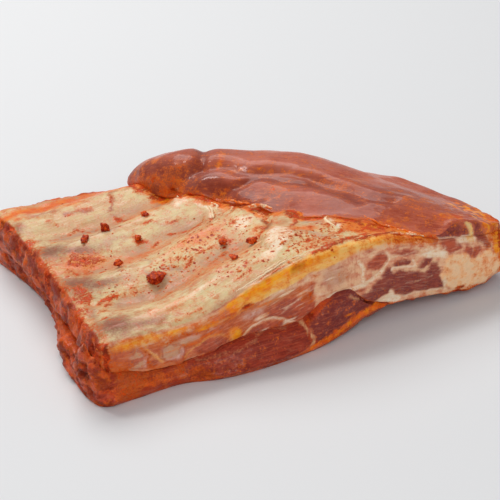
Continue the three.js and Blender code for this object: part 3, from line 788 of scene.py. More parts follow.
def marks_on_cut(side):
    """How strongly each tissue shows at each place of the cut."""
    stroke, oval, area, haze = side.stroke, side.oval, side.area, side.haze
    muscle = most(area((67.5, 17.5), (71.5, 20.5), (75, 21.5), (79, 23.5), (84, 22.5), (87.5, 22.5),
            (89, 25), (90.5, 26.5), (91, 23.5), (90.5, 19.5), (92.5, 16), (89.5, 14), (84, 12.5),
            (78, 15.5), (73, 17.5)),
        area((61, 11.5), (65, 14.5), (70, 15.8), (76, 14.6), (82, 11.5), (76, 8), (62, 8)),
        oval(46.5, 13, 5, 2.9), oval(62, 25.5, 2.8, 1.5), oval(120, 28.2, 4.8, 2.6, 35),
        oval(117, 34, 2.6, 1.1), stroke(2.0, (129, 32.5), (135, 32), (141, 30)),
        area((144, 30.5), (148, 29.5), (148.5, 26), (145, 27.5)), oval(133, 28.5, 5, 1.4, -10),
        stroke(0.9, (95, 18), (104, 18.4), (113, 17.6)),
        area((148, 27.5), (150, 29), (153.5, 28.6), (157, 27.2), (159, 25), (158, 23), (155, 22.3),
            (153, 22.8), (150, 25.6)),
        area((159.3, 22), (160.5, 23.8), (163.2, 22), (163.5, 18.3), (162, 18.8), (160.5, 20)),
        area((163.8, 19.5), (164.5, 22.8), (166.4, 22), (167.8, 20), (167, 17.8), (164.5, 17.3)),
        oval(23, 12, 2, 1.0), stroke(1.5, (31, 19.8), (38, 20.2), (46, 19.8)),
        *[0.8 * stroke(0.8, *blob, blob[0]) for blob in PEARL_BLOBS], 0.85 * oval(46, 13.2, 6, 2.8),
        0.6 * area((6, 19.5), (11, 20.5), (14, 17), (14, 13), (9, 12), (5.5, 13.5)))
    dark = most(area((116.5, 17), (120.5, 21), (124.5, 24), (126.5, 24), (127.5, 21), (129.5, 21.5),
            (133.5, 20), (142, 17.8), (145, 18.5), (149.5, 16.5), (150.3, 10), (150, 7.5), (143, 9),
            (135.5, 10.5), (131.5, 9.5), (126.5, 12), (125.5, 14.8), (124, 12.5), (119, 11), (113.5, 12),
            (110.5, 14)), area((127.5, 24.5), (129.5, 25.7), (133, 25.7), (134.7, 24), (132.5, 22.8),
            (129.5, 23.3)), area((138.3, 20.5), (140, 22.2), (142.5, 23.8), (145.7, 23.2), (145, 21.3),
            (142.5, 19.8), (140, 19.3)),
        area((144, 19), (145, 20.7), (147.7, 20.2), (149.2, 17.5), (148.5, 15.8), (145.5, 17.3)),
        area((143, 36.5), (151, 37), (156, 35), (160.5, 32), (162.5, 28), (162.7, 26), (153.5, 29),
            (147, 30.5), (144, 33)),
        area((165, 35), (167.5, 35), (167.7, 30), (169.7, 27), (172.2, 24.5), (173.2, 21), (172, 18.6),
            (169.5, 21.5), (166.5, 23.5), (164.7, 27)))
    white = most(stroke(0.9, *WHITE_SEAM), stroke(1.7, (108, 19), (114, 19.6), (118, 21), (122, 23.6)),
        stroke(0.9, (127, 22.5), (128.5, 23.1), (135, 21.2), (137.6, 21), (136.2, 24)),
        area((140.5, 25.2), (144, 26.3), (148, 25.2), (151.7, 23.8), (152.7, 21.3), (150.5, 20.6),
            (147, 22), (143, 23.8)),
        area((118, 9.6), (121.5, 11.2), (124.3, 12.2), (125, 14.4), (126.2, 11.6), (129.8, 9), (127.5, 7.2),
            (124.5, 7), (120.5, 8.6)), stroke(0.7, (130, 9.6), (138, 9.6), (143, 8.6), (151, 7)),
        oval(150.6, 9.5, 0.9, 2.2), stroke(1.7, (112.3, 30), (114, 25.5), (113.6, 21)),
        stroke(1.1, (143, 33), (147, 30.6), (151.5, 29.6), (156, 28.6), (158.5, 26.6), (163, 26),
            (168.5, 22)), area((156, 27.6), (158.5, 29.3), (163, 28.4), (167, 23.4), (160, 24.4)),
        0.9 * stroke(0.6, (140, 27.5), (146, 27), (149, 24)),
        0.8 * stroke(0.6, (137, 26), (141, 24.6), (144, 24.6)),
        0.85 * stroke(0.6, (149.5, 24.5), (153, 26.4), (156.5, 25)),
        0.8 * stroke(0.5, (117, 31), (122, 31.4), (127, 29)),
        0.8 * stroke(0.6, (126, 28), (131, 27.4), (137, 28)),
        0.7 * stroke(0.5, (134, 15), (139, 14.4), (145, 15)),
        0.75 * stroke(0.8, (68, 24), (74, 26.2), (81, 27.6)),
        0.7 * stroke(0.7, (80, 25.5), (87, 28.3), (94, 30)),
        0.8 * stroke(0.6, (14, 13), (18, 11), (23, 8.6), (28, 7.6), (34.5, 8.2), (38, 9.6), (49.5, 9.6),
            (61, 11.4)), 0.7 * stroke(0.6, (22, 17.4), (24.5, 13.6), (27, 11.8)),
        0.6 * stroke(0.6, (52, 12), (58, 16), (66, 19)),
        0.6 * stroke(0.6, (56, 11.8), (60, 14.6), (67, 17.8)))
    pale = most(oval(17, 15.5, 2.6, 4.4), oval(30, 16, 4.6, 3.6, 20), oval(38, 17.5, 4, 1.5),
        0.9 * haze(74, 24.5, 10, 2, 12), 0.8 * haze(101, 27, 7, 6))
    yellow = most(area(*FAT_UPPER, *FAT_LOWER), stroke(1.2, *FAT_LINE), 0.85 * oval(57, 14.5, 2.6, 3.2),
        0.8 * stroke(0.9, (21, 19), (23, 15), (27, 11.5)),
        0.7 * stroke(0.9, (37, 11), (41, 14.5), (47, 16.8)),
        0.7 * stroke(0.9, (47, 16.8), (52, 16), (55, 12)),
        0.7 * stroke(0.9, (49, 21.5), (58, 22.5), (66, 25)),
        stroke(1.9, (161, 36), (162, 33), (163, 29.5), (163.5, 26.5)),
        0.8 * stroke(1.0, (118, 37.5), (124, 36), (130, 34)))
    orange = most(area((166.5, 38), (186, 38), (186, 6), (178, 10), (175, 19), (173, 27), (168.5, 30)),
        stroke(1.3, (10, 20.6), (16, 21.8), (22, 21), (27, 20.4), (31, 20.6)),
        stroke(1.5, (33, 21.4), (38, 22.2), (44, 21.6), (50, 21.6)), oval(58, 25.4, 3.4, 1.6, 20),
        0.95 * stroke(1.4, (11, 21.8), (16, 23.4), (21, 22.6)),
        0.9 * stroke(1.2, (34, 21.4), (38, 22.4), (44, 22.8)), 0.8 * stroke(1.2, (48, 22.4), (54, 23)),
        oval(62.5, 28.6, 3.4, 1.2, 20),
        0.9 * stroke(1.8, (74.5, 31), (80, 32), (86, 33.5), (91.5, 35), (95, 35.6)),
        0.8 * stroke(1.0, (68, 30), (74, 31.4)), haze(131, 34.6, 12, 2.4, -12),
        0.9 * haze(141, 32, 6, 2, -15), haze(175, 30, 6, 8), 0.8 * haze(179, 16, 2.6, 10),
        0.8 * stroke(0.7, (152.5, 18.8), (156, 18)), 0.7 * oval(164.5, 9.5, 0.9, 0.9),
        0.55 * haze(57, 14, 5, 5), 0.45 * haze(9, 13, 7, 9), 0.35 * haze(172, 14, 8, 8),
        0.5 * haze(24, 10, 12, 2), 0.6 * stroke(0.8, (84, 28), (86, 24), (86, 20)))
    red = most(side.ramp(7.5 - side.u),
        0.62 * stroke(1.0, (20, 20.4), (28, 19), (36, 19.8), (44, 19), (52, 20.6), (58, 22.6)),
        oval(63, 25.3, 1.6, 1.0), 0.85 * stroke(0.9, (20.5, 19), (21, 15), (22, 12)),
        0.9 * stroke(1.0, (124, 36.3), (130, 34.2), (137, 32.3), (143, 31.6)),
        stroke(1.2, (128, 6.4), (140, 5.2), (150, 4.4), (172, 3.7)), oval(157.5, 6, 1.2, 1.0),
        0.9 * oval(92, 29.2, 0.8, 0.5), 0.5 * haze(88, 22, 3, 4), 0.75 * side.ramp(side.u - 177.5),
        0.62 * haze(176, 27, 4, 8), 0.5 * haze(10, 12, 6, 5))
    upright = most(area((62, 22), (76, 25.5), (92, 27), (96, 22), (113, 20.5), (113, 34), (96, 32),
            (80, 29), (66, 27)), haze(101, 27, 9, 6))
    rust = most(0.9 * haze(30, 13, 30, 6),
        area((4, 21), (18, 21.5), (30, 19.5), (38, 21), (56, 24), (72, 25.5), (84, 27.5), (92, 27),
            (90, 20), (84, 15), (70, 10), (55, 7), (36, 5), (4, 5)))
    pearl = most(*[area(*blob) for blob in PEARL_BLOBS], 0.8 * oval(38, 18, 5, 1.6),
        0.9 * haze(66, 21, 5, 2, 20), 0.8 * haze(101, 27, 6, 6), 0.7 * haze(47, 19.5, 6, 1.4))
    gold = most(0.9 * oval(122, 36.8, 3, 0.8), 0.9 * oval(130, 34.8, 3, 0.8), 0.8 * oval(138, 33, 2.4, 0.7),
        0.8 * oval(171.5, 31, 1.6, 2.6), 0.7 * oval(177, 25, 1.4, 3), 0.6 * oval(158, 35.4, 2.4, 0.8),
        stroke(3.4, (57, 26), (62.5, 28.5), (70, 31), (77.5, 33), (86, 34.5), (91, 35.2)),
        0.7 * haze(72, 31, 12, 3, 18), stroke(1.0, *FAT_LINE), 0.8 * haze(97, 36, 9, 1.4, 8),
        0.8 * oval(58, 14.5, 2.2, 2.6), 0.7 * haze(45, 20.6, 8, 0.8))
    return dict(gold=gold, rust=rust, pearl=pearl, muscle=muscle, dark=dark, white=white, pink=pale,
        yellow=yellow, orange=orange, red=red, upright=upright, gristle=area(*GRISTLE_EDGE))


cut_marks = marks_on_cut(cut)

# %% [markdown]
# Now the sides are put together into one set of marks, and the surface gets its relief: swollen muscles and
# pulled-in seams on the cut, a torn step on the membrane, white strands by the skirt, and the rough sawn
# end.

# %% The slab's marks
west = Side(slab_points[:, 1] + 1.4 * wobble[:, 1], slab_points[:, 2] + 1.0 * wobble[:, 2])
# A gash across the sawn end; the relief sinks it, and its dark red is painted shade in the crevice.
shaded_gash = west.stroke(2.6, (30, 13.5), (21.5, 13), (15.5, 12.5), (8, 12), (1, 13.5))
plates = most(unit(0.5 + 2.6 * lumps(slab_points, (6, 6, 7.5), 8)), west.oval(8, 22, 7, 4))
grit, cloud = 1 - plates, many_lumps(slab_points, 12, 3, 7)
torn, to_skirt = lumps(slab_points, 5, 61), top.reach(*SKIRT_FRONT)
rough = most(on_west, hidden)
on_cut_alone, fat_rim = on_cut * (1 - on_west), unit(on_top + on_cut) * (1 - on_west)
bent = np.stack([x, y, z - 0.8 * ARCH_RISE * arch(x)], -1)


def streaks(size, seed, gain, loss=0.0):
    """Streaks in the cut that follow the arch."""
    return on_cut_alone * unit(gain * many_lumps(bent, size, 2, seed) - loss)


slab_marks = {key: on_cut_alone * value for key, value in cut_marks.items()}
own_marks = dict(cut=on_cut, grey=on_top * top_grey, bruise_and_shade=on_top * top_bruise_and_shade, pink=on_top * top_pink,
    plate=rough * plates, raw=most(on_west, 0.7 * hidden), spice=most(on_top * spice, 0.5 * on_west),
    white=most(on_top * top_white_and_highlight, 0.75 * streaks((12, 8, 2), 23, 1.8, 0.2) * ease((106 - x) / 6)
        * ease((x - 60) / 10)),
    muscle=most(rough, 0.7 * streaks((12, 8, 3), 21, 1.5) * ease((110 - x) / 10)),
    char=most(on_top * top_char * unit(1.1 - on_west),
        0.85 * on_west * unit(1.8 * lumps(slab_points, (7, 7, 5), 9) - 0.1)),
    yellow=most(on_top * top.area(*FAT_ON_TOP), fat_rim * cut.stroke(1.6, *FAT_LINE) * unit((4 - y) / 3)),
    red=most(on_top * top_red, rough * unit(0.1 + 0.62 * grit + 0.4 * cloud),
        on_top * 0.72 * unit(0.8 + 1.2 * torn) * top.ramp(3.6 + 2.4 * torn - to_skirt)),
    orange=most(on_top * top_orange, on_west * unit(0.1 + 0.45 * grit + 0.9 * lumps(slab_points, 5, 19)),
        hidden * unit(0.4 + 0.6 * cloud), 0.7 * streaks((18, 8, 2.4), 25, 1.6, 0.35) * ease((100 - x) / 10),
        hidden * hill(y, 140, 9) * unit((x - 14) / 10) * unit((86 - x) / 10),
        on_top * unit(0.7 - 1.2 * torn) * top.ramp(4.4 + 2 * lumps(slab_points, 6, 62) - to_skirt),
        on_top * 0.9 * top.area((116, 22), (126, 14), (142, 3), (134, 1), (122, 6), (112, 14)),
        0.8 * fat_rim * cut.stroke(2.4, *FAT_LINE[:-1]) * unit((3 - y) / 3)),
    # This mark is painted shade: in the gash at the sawn end, in the notch by the cut and in the crease at
    # the torn step.
    shaded_gash=most(on_west * shaded_gash, on_top * top.stroke(0.5, (84, 1.6), (87.5, 1.0)),
        0.8 * on_top * top.stroke(0.6, (89.5, 31), (91, 38), (91.4, 43))))
for key, value in own_marks.items():
    slab_marks[key] = most(value, slab_marks.get(key, 0 * value))
slab_marks["gold"] = most(ease((x - 8) / 7) * fat_rim * unit((4 - y) / 3) * cut_marks["gold"],
    on_cut_alone * ease((x - 172) / 4) * ease((z - 12) / 6) * unit(0.35 + 2 * lumps(slab_points, 2.6, 66)),
    on_top * unit(2.4 * lumps(slab_points, 3.5, 63)) * top.ramp(3.0 - to_skirt),
    on_top * 0.9 * unit(0.5 + 2 * lumps(slab_points, 4, 64))
    * top.stroke(3.4, (112, 22), (120, 17), (127, 11), (134, 6), (141, 2)))
print("kinds of mark on the slab:", len(slab_marks))

# %% [markdown]
# The relief is pushed out along the surface, so it is real shape that shows at the outline too, not only
# shading.

# %% The slab's relief
strands = most(top.stroke(1.5, (79.5, 60), (83, 68), (84.5, 77)),
    top.stroke(1.2, (76, 62), (79, 72), (82, 82)), top.stroke(1.5, (72, 86), (75, 96), (75, 105)),
    top.stroke(1.2, (78, 84), (78, 93), (76, 101)), top.stroke(1.2, (86, 52), (88, 60), (88, 68)),
    top.stroke(1.0, (110, 15), (110, 23), (113.5, 30)))
step_line = np.interp(v, [22, 28, 33, 39, 47], [80.5, 83.5, 87.5, 92, 97])
step = (ease((u - step_line) / 1.4) * unit((47 - v) / 5) * unit((v - 6) / 14)
        * (1 - ease((u - step_line - 3) / 16)))
fine_rows = (np.sin(2 * pi * (y + 0.5 * lumps(slab_points, (14, 5, 5), 16)) / 1.3) * hill(y, 4, 2.6)
             * unit((x - 52) / 8) * unit((94 - x) / 8))
rim_bumps = hill(x, 3, 6) * hill(z, SHOULDER, 5)
relief = (on_top * (0.6 * many_lumps(slab_points, (18, 9, 9), 3, 11) - 1.3 * groove
        + 0.12 * many_lumps(slab_points, (12, 1.8, 2), 2, 12) + 0.22 * fine_rows + 0.9 * strands
        - 0.5 * top.ramp(0.7 - np.abs(u - step_line)) * unit((46 - v) / 5) * unit((v - 22) / 4) + 1.5 * step
        + 0.35 * top_red * (x > 14) + 0.25 * top_white_and_highlight - 0.3 * top_pink - 0.25 * top_grey)
    + on_cut * (0.3 * many_lumps(slab_points, 5, 3, 13) + 0.5 * cut_marks["muscle"]
        + 0.5 * cut_marks["dark"] - 0.35 * cut_marks["white"] + 0.9 * cut_marks["gristle"]
        + 0.3 * cut_marks["yellow"] + 0.5 * cut_marks["pink"]) + most(on_west, 0.8 * hidden)
    * (0.9 * many_lumps(slab_points, (9, 4.5, 8), 3, 14) + 0.9 * (plates - 0.5)
        + 0.5 * grit * lumps(slab_points, 1.8, 18)) + on_west * (1.2 * np.sin(pi * slab_up) - 2.6 * shaded_gash)
    + rim_bumps * 1.5 * many_lumps(slab_points, (4, 4, 4), 2, 20))
slab_points = slab_points + slab_out * relief[:, None]
slab_flow = (x, y - RIB_SLANT * x, z - 0.8 * ARCH_RISE * arch(x))

# %% [markdown]
# The slab's material lays its tissues over a cream membrane in the order in which they cover each other,
# with the marinade last. Borders on raw meat are soft, so each layer fades over a millimetre or two and
# frays along the fibres. Thin pale threads of connective tissue run through the cut muscle.

# %% The slab's material
# The grey, pink and bruise layers also carry painted shade in the grooves between the ribs, and the white
# layer carries painted light along the rib tops.
slab_look = make_meat("membrane_meat_and_marinade", (CREAM, TAN, RIDGE, THREAD),
    [("cut", PALE_CUT, PINK_CUT, 0.25, 0.3, 1.0, 0.3),
        ("rust", colour(222, 136, 98), colour(200, 104, 66), 0.5, 0.6, 0.95, 0.4),
        ("pearl", colour(236, 196, 180), colour(216, 162, 148), 0.35, 0.3, 1.0, 0.1),
        ("pink", PINK_MEAT, TAN, 0.5, 0.8, 0.7, 0.5),
        ("bruise_and_shade", colour(190, 102, 70), colour(162, 74, 50), 0.45, 0.9, 0.85, 0.5),
        ("grey", GREY_VIOLET, colour(196, 158, 136), 0.5, 0.9, 0.7, 0.7),
        ("muscle", MUSCLE, DARK_MUSCLE, 0.35, 0.3, 1.0, 0.3),
        ("dark", DARK_MUSCLE, PURPLE, 0.42, 0.6, 0.97, 0.3),
        ("plate", RAW_PLATE, RAW_RED, 0.35, 0.6, 0.9, 0.4),
        ("gristle", GRISTLE, PEACH, 0.3, 0.25, 1.0, 0.0),
        ("white", WHITE_FAT, colour(248, 220, 186), 0.3, 0.5, 0.95, 0.4),
        ("yellow", YELLOW_FAT, colour(254, 190, 104), 0.35, 0.5, 1.0, 0.4),
        ("orange", colour(244, 140, 30), ORANGE_OIL, 0.5, 0.9, 0.9, 0.4),
        ("gold", colour(255, 182, 44), colour(252, 152, 16), 0.45, 0.5, 1.0, 0.3),
        ("char", CHAR, colour(166, 100, 82), 0.6, 0.9, 0.9, 0.5)],
    threads=[("cut", colour(250, 222, 196), 0.16)], wet=0.4)
slab_piece = make_piece("slab", slab_points, slab_faces, slab_marks, slab_flow, slab_look,
    ("rib_slab", "fat_layer", "chest_muscle", "cartilage"))

# %% [markdown]
# ## The outer meat
# The lower layer is dark red muscle with the marinade dried on its outside. At the cut it swells out in a
# round belly, its fibres run nearly level, a pale seam crosses it, and orange marinade hangs on its lower
# edge.

# %% The outer meat
OUTER_CELLS = (220, 90, 28)
outer_points, outer_faces, outer_up = body(OUTER, OUTER_CELLS)
outer_out = outward(outer_points, outer_faces)
x, y, z = outer_points.T
wobble = np.stack([many_lumps(outer_points, 6, 3, 31), many_lumps(outer_points, 6, 3, 32)], -1)
front = Side(x + 1.2 * wobble[:, 0], z + 0.4 * wobble[:, 1], 2.0)
face_west = most(ease((-outer_out[:, 0] - 0.2) / 0.3), ease((9 - x) / 4) * ease((8 - y) / 4))
face_front = ease((5 - y) / 2) * (1 - face_west) * ease((0.85 + outer_out[:, 2]) / 0.2)
rest = 1 - most(face_west, face_front)
cloud = many_lumps(outer_points, 10, 3, 33)
plates = unit(0.5 + 2.6 * lumps(outer_points, (7, 7, 7), 39))
flap_lip = Side(y, z).stroke(2.2, (36, 7.5), (36, 12), (30, 18), (24, 22.5), (16, 19),
    (9, 14)) * unit((6 - x) / 3)
# A gash under the flap; the relief sinks it, and its dark red is painted shade.
outer_shaded_gash = Side(y, z).stroke(2.0, (27, 12.5), (20, 11.5), (14, 11), (7, 10.5)) * unit((6 - x) / 3)
outer_marks = dict(white=face_front
    * most(front.stroke(1.6, (84.5, 12.5), (86, 9.5), (87.3, 6.6), (86.4, 4), (85, 2)),
        0.8 * front.stroke(0.5, (40, 9), (52, 9.6), (64, 11.6)),
        # Painted highlights: the next two thin strokes are the wet stripes on the muscle below the slab.
        0.85 * front.stroke(0.6, (62, 13.5), (68, 15), (75, 14.6)),
        0.8 * front.stroke(0.5, (64, 12.2), (70, 13.2), (78, 12.2)),
        front.stroke(0.8, (104, 18.5), (107, 17), (111, 14.4))),
    # Dark purple muscle; the small haze at x 35 is painted shade in a crevice.
    dark=face_front
    * most(front.area((87, 13), (91, 19), (98, 24), (106, 23), (116, 15), (124, 9), (114, 6.4), (101, 5),
            (90, 3.6), (88, 6)), 0.7 * front.haze(35, 6, 3, 2.4), 0.5 * front.haze(66, 9.6, 14, 1.2)),
    muscle=face_front * front.area((36, 2), (36, 9), (62, 14), (84, 13), (86, 2), (60, 1)),
    plate=most(face_west, rest) * plates,
    orange=most(face_front
        * most(front.stroke(3.6, (78, 0.2), (90, 2.2), (96, 3.8), (105, 6.2), (114, 7.8), (122, 9)),
            front.haze(40, 5, 3.5, 2.4), 0.8 * front.haze(105, 10, 3, 1.0),
            0.6 * front.haze(22, 6, 10, 2.4)), face_west * unit(0.2 + 0.5 * (1 - plates) + 0.8 * cloud),
        rest * unit(0.4 + 0.6 * cloud), flap_lip),
    yellow=face_front
    * most(unit(0.7 + 1.6 * lumps(outer_points, 2.4, 67)) * front.stroke(2.6, (84, 1.6), (92, 3), (100, 5),
            (112, 7.6), (120, 9)), 0.9 * front.haze(105, 10.3, 1.4, 0.6)),
    red=most(face_front * most(0.45 * front.ramp(22 + 8 * lumps(outer_points, 8, 34) - x),
            0.9 * front.stroke(1.4, (40, 1.4), (84, -0.4), (100, 2), (118, 5.4)),
            0.7 * front.haze(52, 6, 5, 1.6), 0.6 * front.haze(34, 7, 3, 3)),
        face_west * unit(0.1 + 0.6 * (1 - plates) + 0.4 * cloud),
        rest * unit(0.25 + 0.4 * (1 - plates) + 0.5 * cloud)), raw=most(face_west, 0.7 * rest),
    shaded_gash=face_west * outer_shaded_gash, spice=0.4 * face_west + 0.3 * rest, cut=face_front)
relief = (0.8 * many_lumps(outer_points, (10, 6, 6), 3, 35)
    + 0.2 * many_lumps(outer_points, (5, 1.6, 1.2), 2, 36) + 0.6 * flap_lip
    + hill(x, 0, 16) * hill(y, -2, 14) * 1.1 * many_lumps(outer_points, (5, 5, 8), 3, 51)
    + face_west * (1.0 * many_lumps(outer_points, 5, 3, 37) + 0.8 * (plates - 0.5)
        + 0.4 * lumps(outer_points, 1.8, 38) - 1.8 * outer_shaded_gash)
    + face_front * (0.8 * np.sin(pi * outer_up) - 0.4 * outer_marks["white"]))
relief *= np.where(z < 0.8, 0.0, ease(z / 3))
outer_points = outer_points + outer_out * relief[:, None]
outer_points[:, 2] = np.maximum(outer_points[:, 2], 0)
outer_look = make_meat("outer_muscle_and_marinade",
    (colour(192, 84, 52), colour(168, 66, 42), colour(206, 108, 72), colour(216, 130, 92)),
    [("muscle", colour(186, 86, 64), colour(156, 66, 54), 0.45, 0.5, 1.0, 0.8),
        ("dark", colour(142, 72, 72), colour(158, 80, 70), 0.4, 0.5, 0.9, 0.7),
        ("plate", RAW_PLATE, RAW_RED, 0.35, 0.6, 0.9, 0.4),
        ("white", colour(240, 196, 152), PINK_MEAT, 0.3, 0.6, 0.9, 0.5),
        ("orange", colour(236, 124, 24), ORANGE_OIL, 0.5, 1.4, 0.9, 0.3),
        ("yellow", colour(255, 160, 40), colour(246, 124, 16), 0.35, 1.0, 1.0, 0.2)],
    threads=[("cut", colour(214, 140, 110), 0.25)], wet=0.55, roughness=0.42)
make_piece("outer_muscle", outer_points, outer_faces, outer_marks, (x, y, z), outer_look,
    ("outer_meat",))

# %% [markdown]
# ## The skirt
# The skirt is a loose muscle with broad rounded folds. Its surface is dull brown-red, and the marinade has
# run down into the crevice in front of it, where it is bright orange. Paler grey and pink patches on the
# domes of the folds are painted sheen, and darker brown in the folds, along the front border and over the
# right part is painted shade.

# %% The skirt's folds
SKIRT_CELLS = (110, 240, 20)
skirt_points, skirt_faces, _ = body(SKIRT, SKIRT_CELLS)
x, y, z = skirt_points.T
skirt_points[:, 2] -= 3.2 * ease((x - 152) / 26) * unit((skirt_points[:, 2] - slab_top(x, y)) / 6)
to_border = Side(x, y).reach(*SKIRT_FRONT)
under = slab_top(x, y)
thin_edge = 1 - 0.88 * (1 - ease(to_border / 13)) * ease((x - 92) / 12)
skirt_points[:, 2] = np.where(z > under, under + (z - under) * thin_edge, z)
skirt_out = outward(skirt_points, skirt_faces)
x, y, z = skirt_points.T
wobble = np.stack([many_lumps(skirt_points, 9, 3, 41), many_lumps(skirt_points, 9, 3, 42)], -1)
sheet = Side(x + 1.6 * wobble[:, 0], y + 1.6 * wobble[:, 1])
border = sheet.reach(*SKIRT_FRONT)
drawn = Side(x + 2.2 * lumps(skirt_points, 16, 51), y + 2.2 * lumps(skirt_points, 16, 52))
first_fold = drawn.reach((72, 96), (77.5, 97.5), (83.5, 96), (88, 95.5), (91.5, 99), (94, 106), (100, 118),
    (107, 129), (112, 138))
second_fold = drawn.reach((84, 72), (89, 77.5), (93, 76.5), (98, 74.5), (101.5, 73.5), (105.5, 70.5),
    (111.5, 63.5), (116.5, 57), (122, 49), (126, 40), (130, 31))
third_fold = drawn.reach((88, 95), (93.5, 91), (99, 85), (104, 78), (110, 72), (116, 67), (121, 60),
    (125, 51), (130, 42), (135, 33), (141, 25))
skirt_cut = ease((-skirt_out[:, 1] - 0.4) / 0.3)
cloud, patches = many_lumps(skirt_points, 16, 3, 43), lumps(skirt_points, 9, 45)
relief = (0.5 * many_lumps(skirt_points, (20, 16, 10), 2, 46)
    + 0.07 * many_lumps(skirt_points, (3, 7, 3), 2, 47) - 1.6 * hill(first_fold, 0, 3.4)
    - 1.9 * hill(second_fold, 0, 3.2) - 1.3 * hill(third_fold, 0, 2.8) + 0.7 * hill(third_fold, 6, 4)
    + 0.4 * lumps(skirt_points, 5, 48) * hill(border, 0, 4) * ease((104 - x) / 8)
    + 0.5 * many_lumps(skirt_points, 6, 3, 49) * ease((30 - y) / 16) * ease((x - 150) / 10))
relief *= ease((z - slab_top(x, y)) / 1.5)
skirt_flow = (0.74 * x - 0.67 * y, 0.67 * x + 0.74 * y, z)

# %% The skirt's colours
end = marks_on_cut(Side(x + 0.6 * wobble[:, 0], z + 0.3 * wobble[:, 1], 2.0))
skirt_marks = {key: skirt_cut * end[key] for key in ("dark", "white", "yellow", "orange", "red", "gold")}
skirt_marks["gold"] = most(skirt_marks["gold"], ease((x - 166) / 4) * (1 - ease((y - 24) / 10))
    * unit(0.35 + 2 * lumps(skirt_points, 2.6, 65)))
away = 1 - skirt_cut
# Painted sheen: the grey patches lie on the domes of the folds.
skirt_marks.update(grey=away * most(0.7 * unit(0.45 + 1.2 * cloud) * ease((border - 12) / 10),
        0.9 * sheet.haze(84, 92, 12, 4, -35), 0.95 * sheet.haze(114, 61, 18, 4, -55),
        0.9 * sheet.haze(124, 34, 12, 8), 0.8 * sheet.stroke(4, (113, 75), (120, 68), (130, 62)),
        0.8 * sheet.stroke(4, (145, 80), (143, 68), (136, 62)), 0.8 * sheet.haze(108, 102, 18, 8, -35),
        0.8 * sheet.haze(84, 124, 8, 10), 0.7 * sheet.haze(150, 30, 12, 6)),
    # Painted sheen: the pink patches lie on the domes of the folds too.
    pink=away * most(0.8 * sheet.haze(115, 24, 7, 4), 0.8 * sheet.haze(130, 88, 24, 12, -35),
        0.6 * sheet.haze(104, 90, 14, 5, -35), 0.6 * sheet.haze(150, 50, 12, 16)),
    # Painted shade: char darkens the folds, the crease between the lobes, a band along the front border and
    # the right part.
    char=away * most(0.7 * sheet.haze(142, 28, 30, 17, -12), 0.5 * sheet.haze(92, 100, 22, 6, -40),
        0.9 * hill(first_fold, 0, 4.5), 0.9 * hill(second_fold, 0, 4.5), 0.6 * hill(third_fold, 0, 3.5),
        0.85 * hill(border, 4, 5) * ease((112 - x) / 14), 0.9 * sheet.haze(103, 55, 12, 7, -50),
        0.9 * sheet.haze(69, 116, 4, 6), 0.8 * sheet.stroke(1.4, (99, 74), (104, 71.5), (109, 67.5)),
        0.6 * sheet.haze(82, 90, 10, 3, -35), 0.4 * sheet.haze(80, 104, 7, 6)),
    orange=most(skirt_marks["orange"], 0.9 * sheet.ramp(0.6 + 1.8 * lumps(skirt_points, 4, 44) - border),
        sheet.oval(77, 118, 2.2, 3), sheet.oval(90.5, 77.5, 2.0, 1.2, -20),
        0.3 * sheet.haze(139, 50, 12, 6), sheet.stroke(2.2, (93.5, 89.5), (96, 92), (99.5, 96.5)),
        0.5 * sheet.stroke(1.4, (93.5, 91), (104, 78), (116, 67), (125, 51), (132, 38)),
        sheet.haze(158, 6, 7, 3), 0.9 * sheet.haze(128, 12, 10, 5), 0.4 * sheet.haze(156, 22, 10, 6),
        sheet.haze(179, 8, 6, 12), 0.4 * sheet.haze(160, 76, 8, 10), 0.8 * sheet.haze(70.5, 101, 2.6, 4),
        0.45 * sheet.haze(74, 126, 5, 6)),
    red=most(skirt_marks["red"], 0.3 * sheet.haze(152, 22, 14, 10),
        0.6 * sheet.ramp(1.0 + lumps(skirt_points, 4, 50) - border), 0.32 * unit(patches),
        0.4 * sheet.haze(106, 58, 9, 7), 0.4 * sheet.haze(78, 102, 8, 6), 0.3 * sheet.haze(130, 46, 10, 6),
        0.6 * sheet.haze(180, 10, 4, 14)), spice=0.08 + 0.2 * unit(patches))
skirt_points = skirt_points + skirt_out * relief[:, None]
# The grey and pink layers paint sheen on the skirt, and its char layer paints shade.
skirt_look = make_meat("skirt_muscle_skin_and_sheen",
    (colour(204, 116, 90), colour(180, 90, 68), colour(216, 134, 108), colour(220, 150, 126)),
    [("grey", colour(204, 138, 124), colour(184, 114, 98), 0.7, 0.8, 0.8, 0.5),
        ("pink", colour(222, 148, 130), colour(220, 140, 112), 0.5, 0.7, 0.7, 0.5),
        ("char", colour(136, 58, 40), colour(160, 78, 56), 0.6, 0.6, 0.85, 0.4),
        ("dark", DARK_MUSCLE, PURPLE, 0.3, 0.4, 1.0, 0.6),
        ("white", WHITE_FAT, colour(250, 210, 176), 0.3, 0.5, 0.9, 0.5),
        ("yellow", YELLOW_FAT, CREAM, 0.3, 0.5, 0.95, 0.5),
        ("orange", colour(226, 106, 32), colour(240, 146, 40), 0.5, 1.2, 0.75, 0.4),
        ("gold", colour(255, 178, 40), colour(250, 140, 16), 0.45, 0.9, 0.95, 0.2)], wet=0.4, patchy=0.3,
    roughness=0.46, bump=0.4)
make_piece("skirt_muscle", skirt_points, skirt_faces, skirt_marks, skirt_flow, skirt_look,
    ("skirt",))

# %% [markdown]
# ## Spice, crumbs and torn strands
# The marinade leaves hundreds of flakes of spice on the membrane. Placing them by hand would be endless, so
# geometry nodes scatter them: more flakes where the slab is marked as spicy, each a flattened twenty-sided
# grain that lies on the surface. The same seed always gives the same flakes.


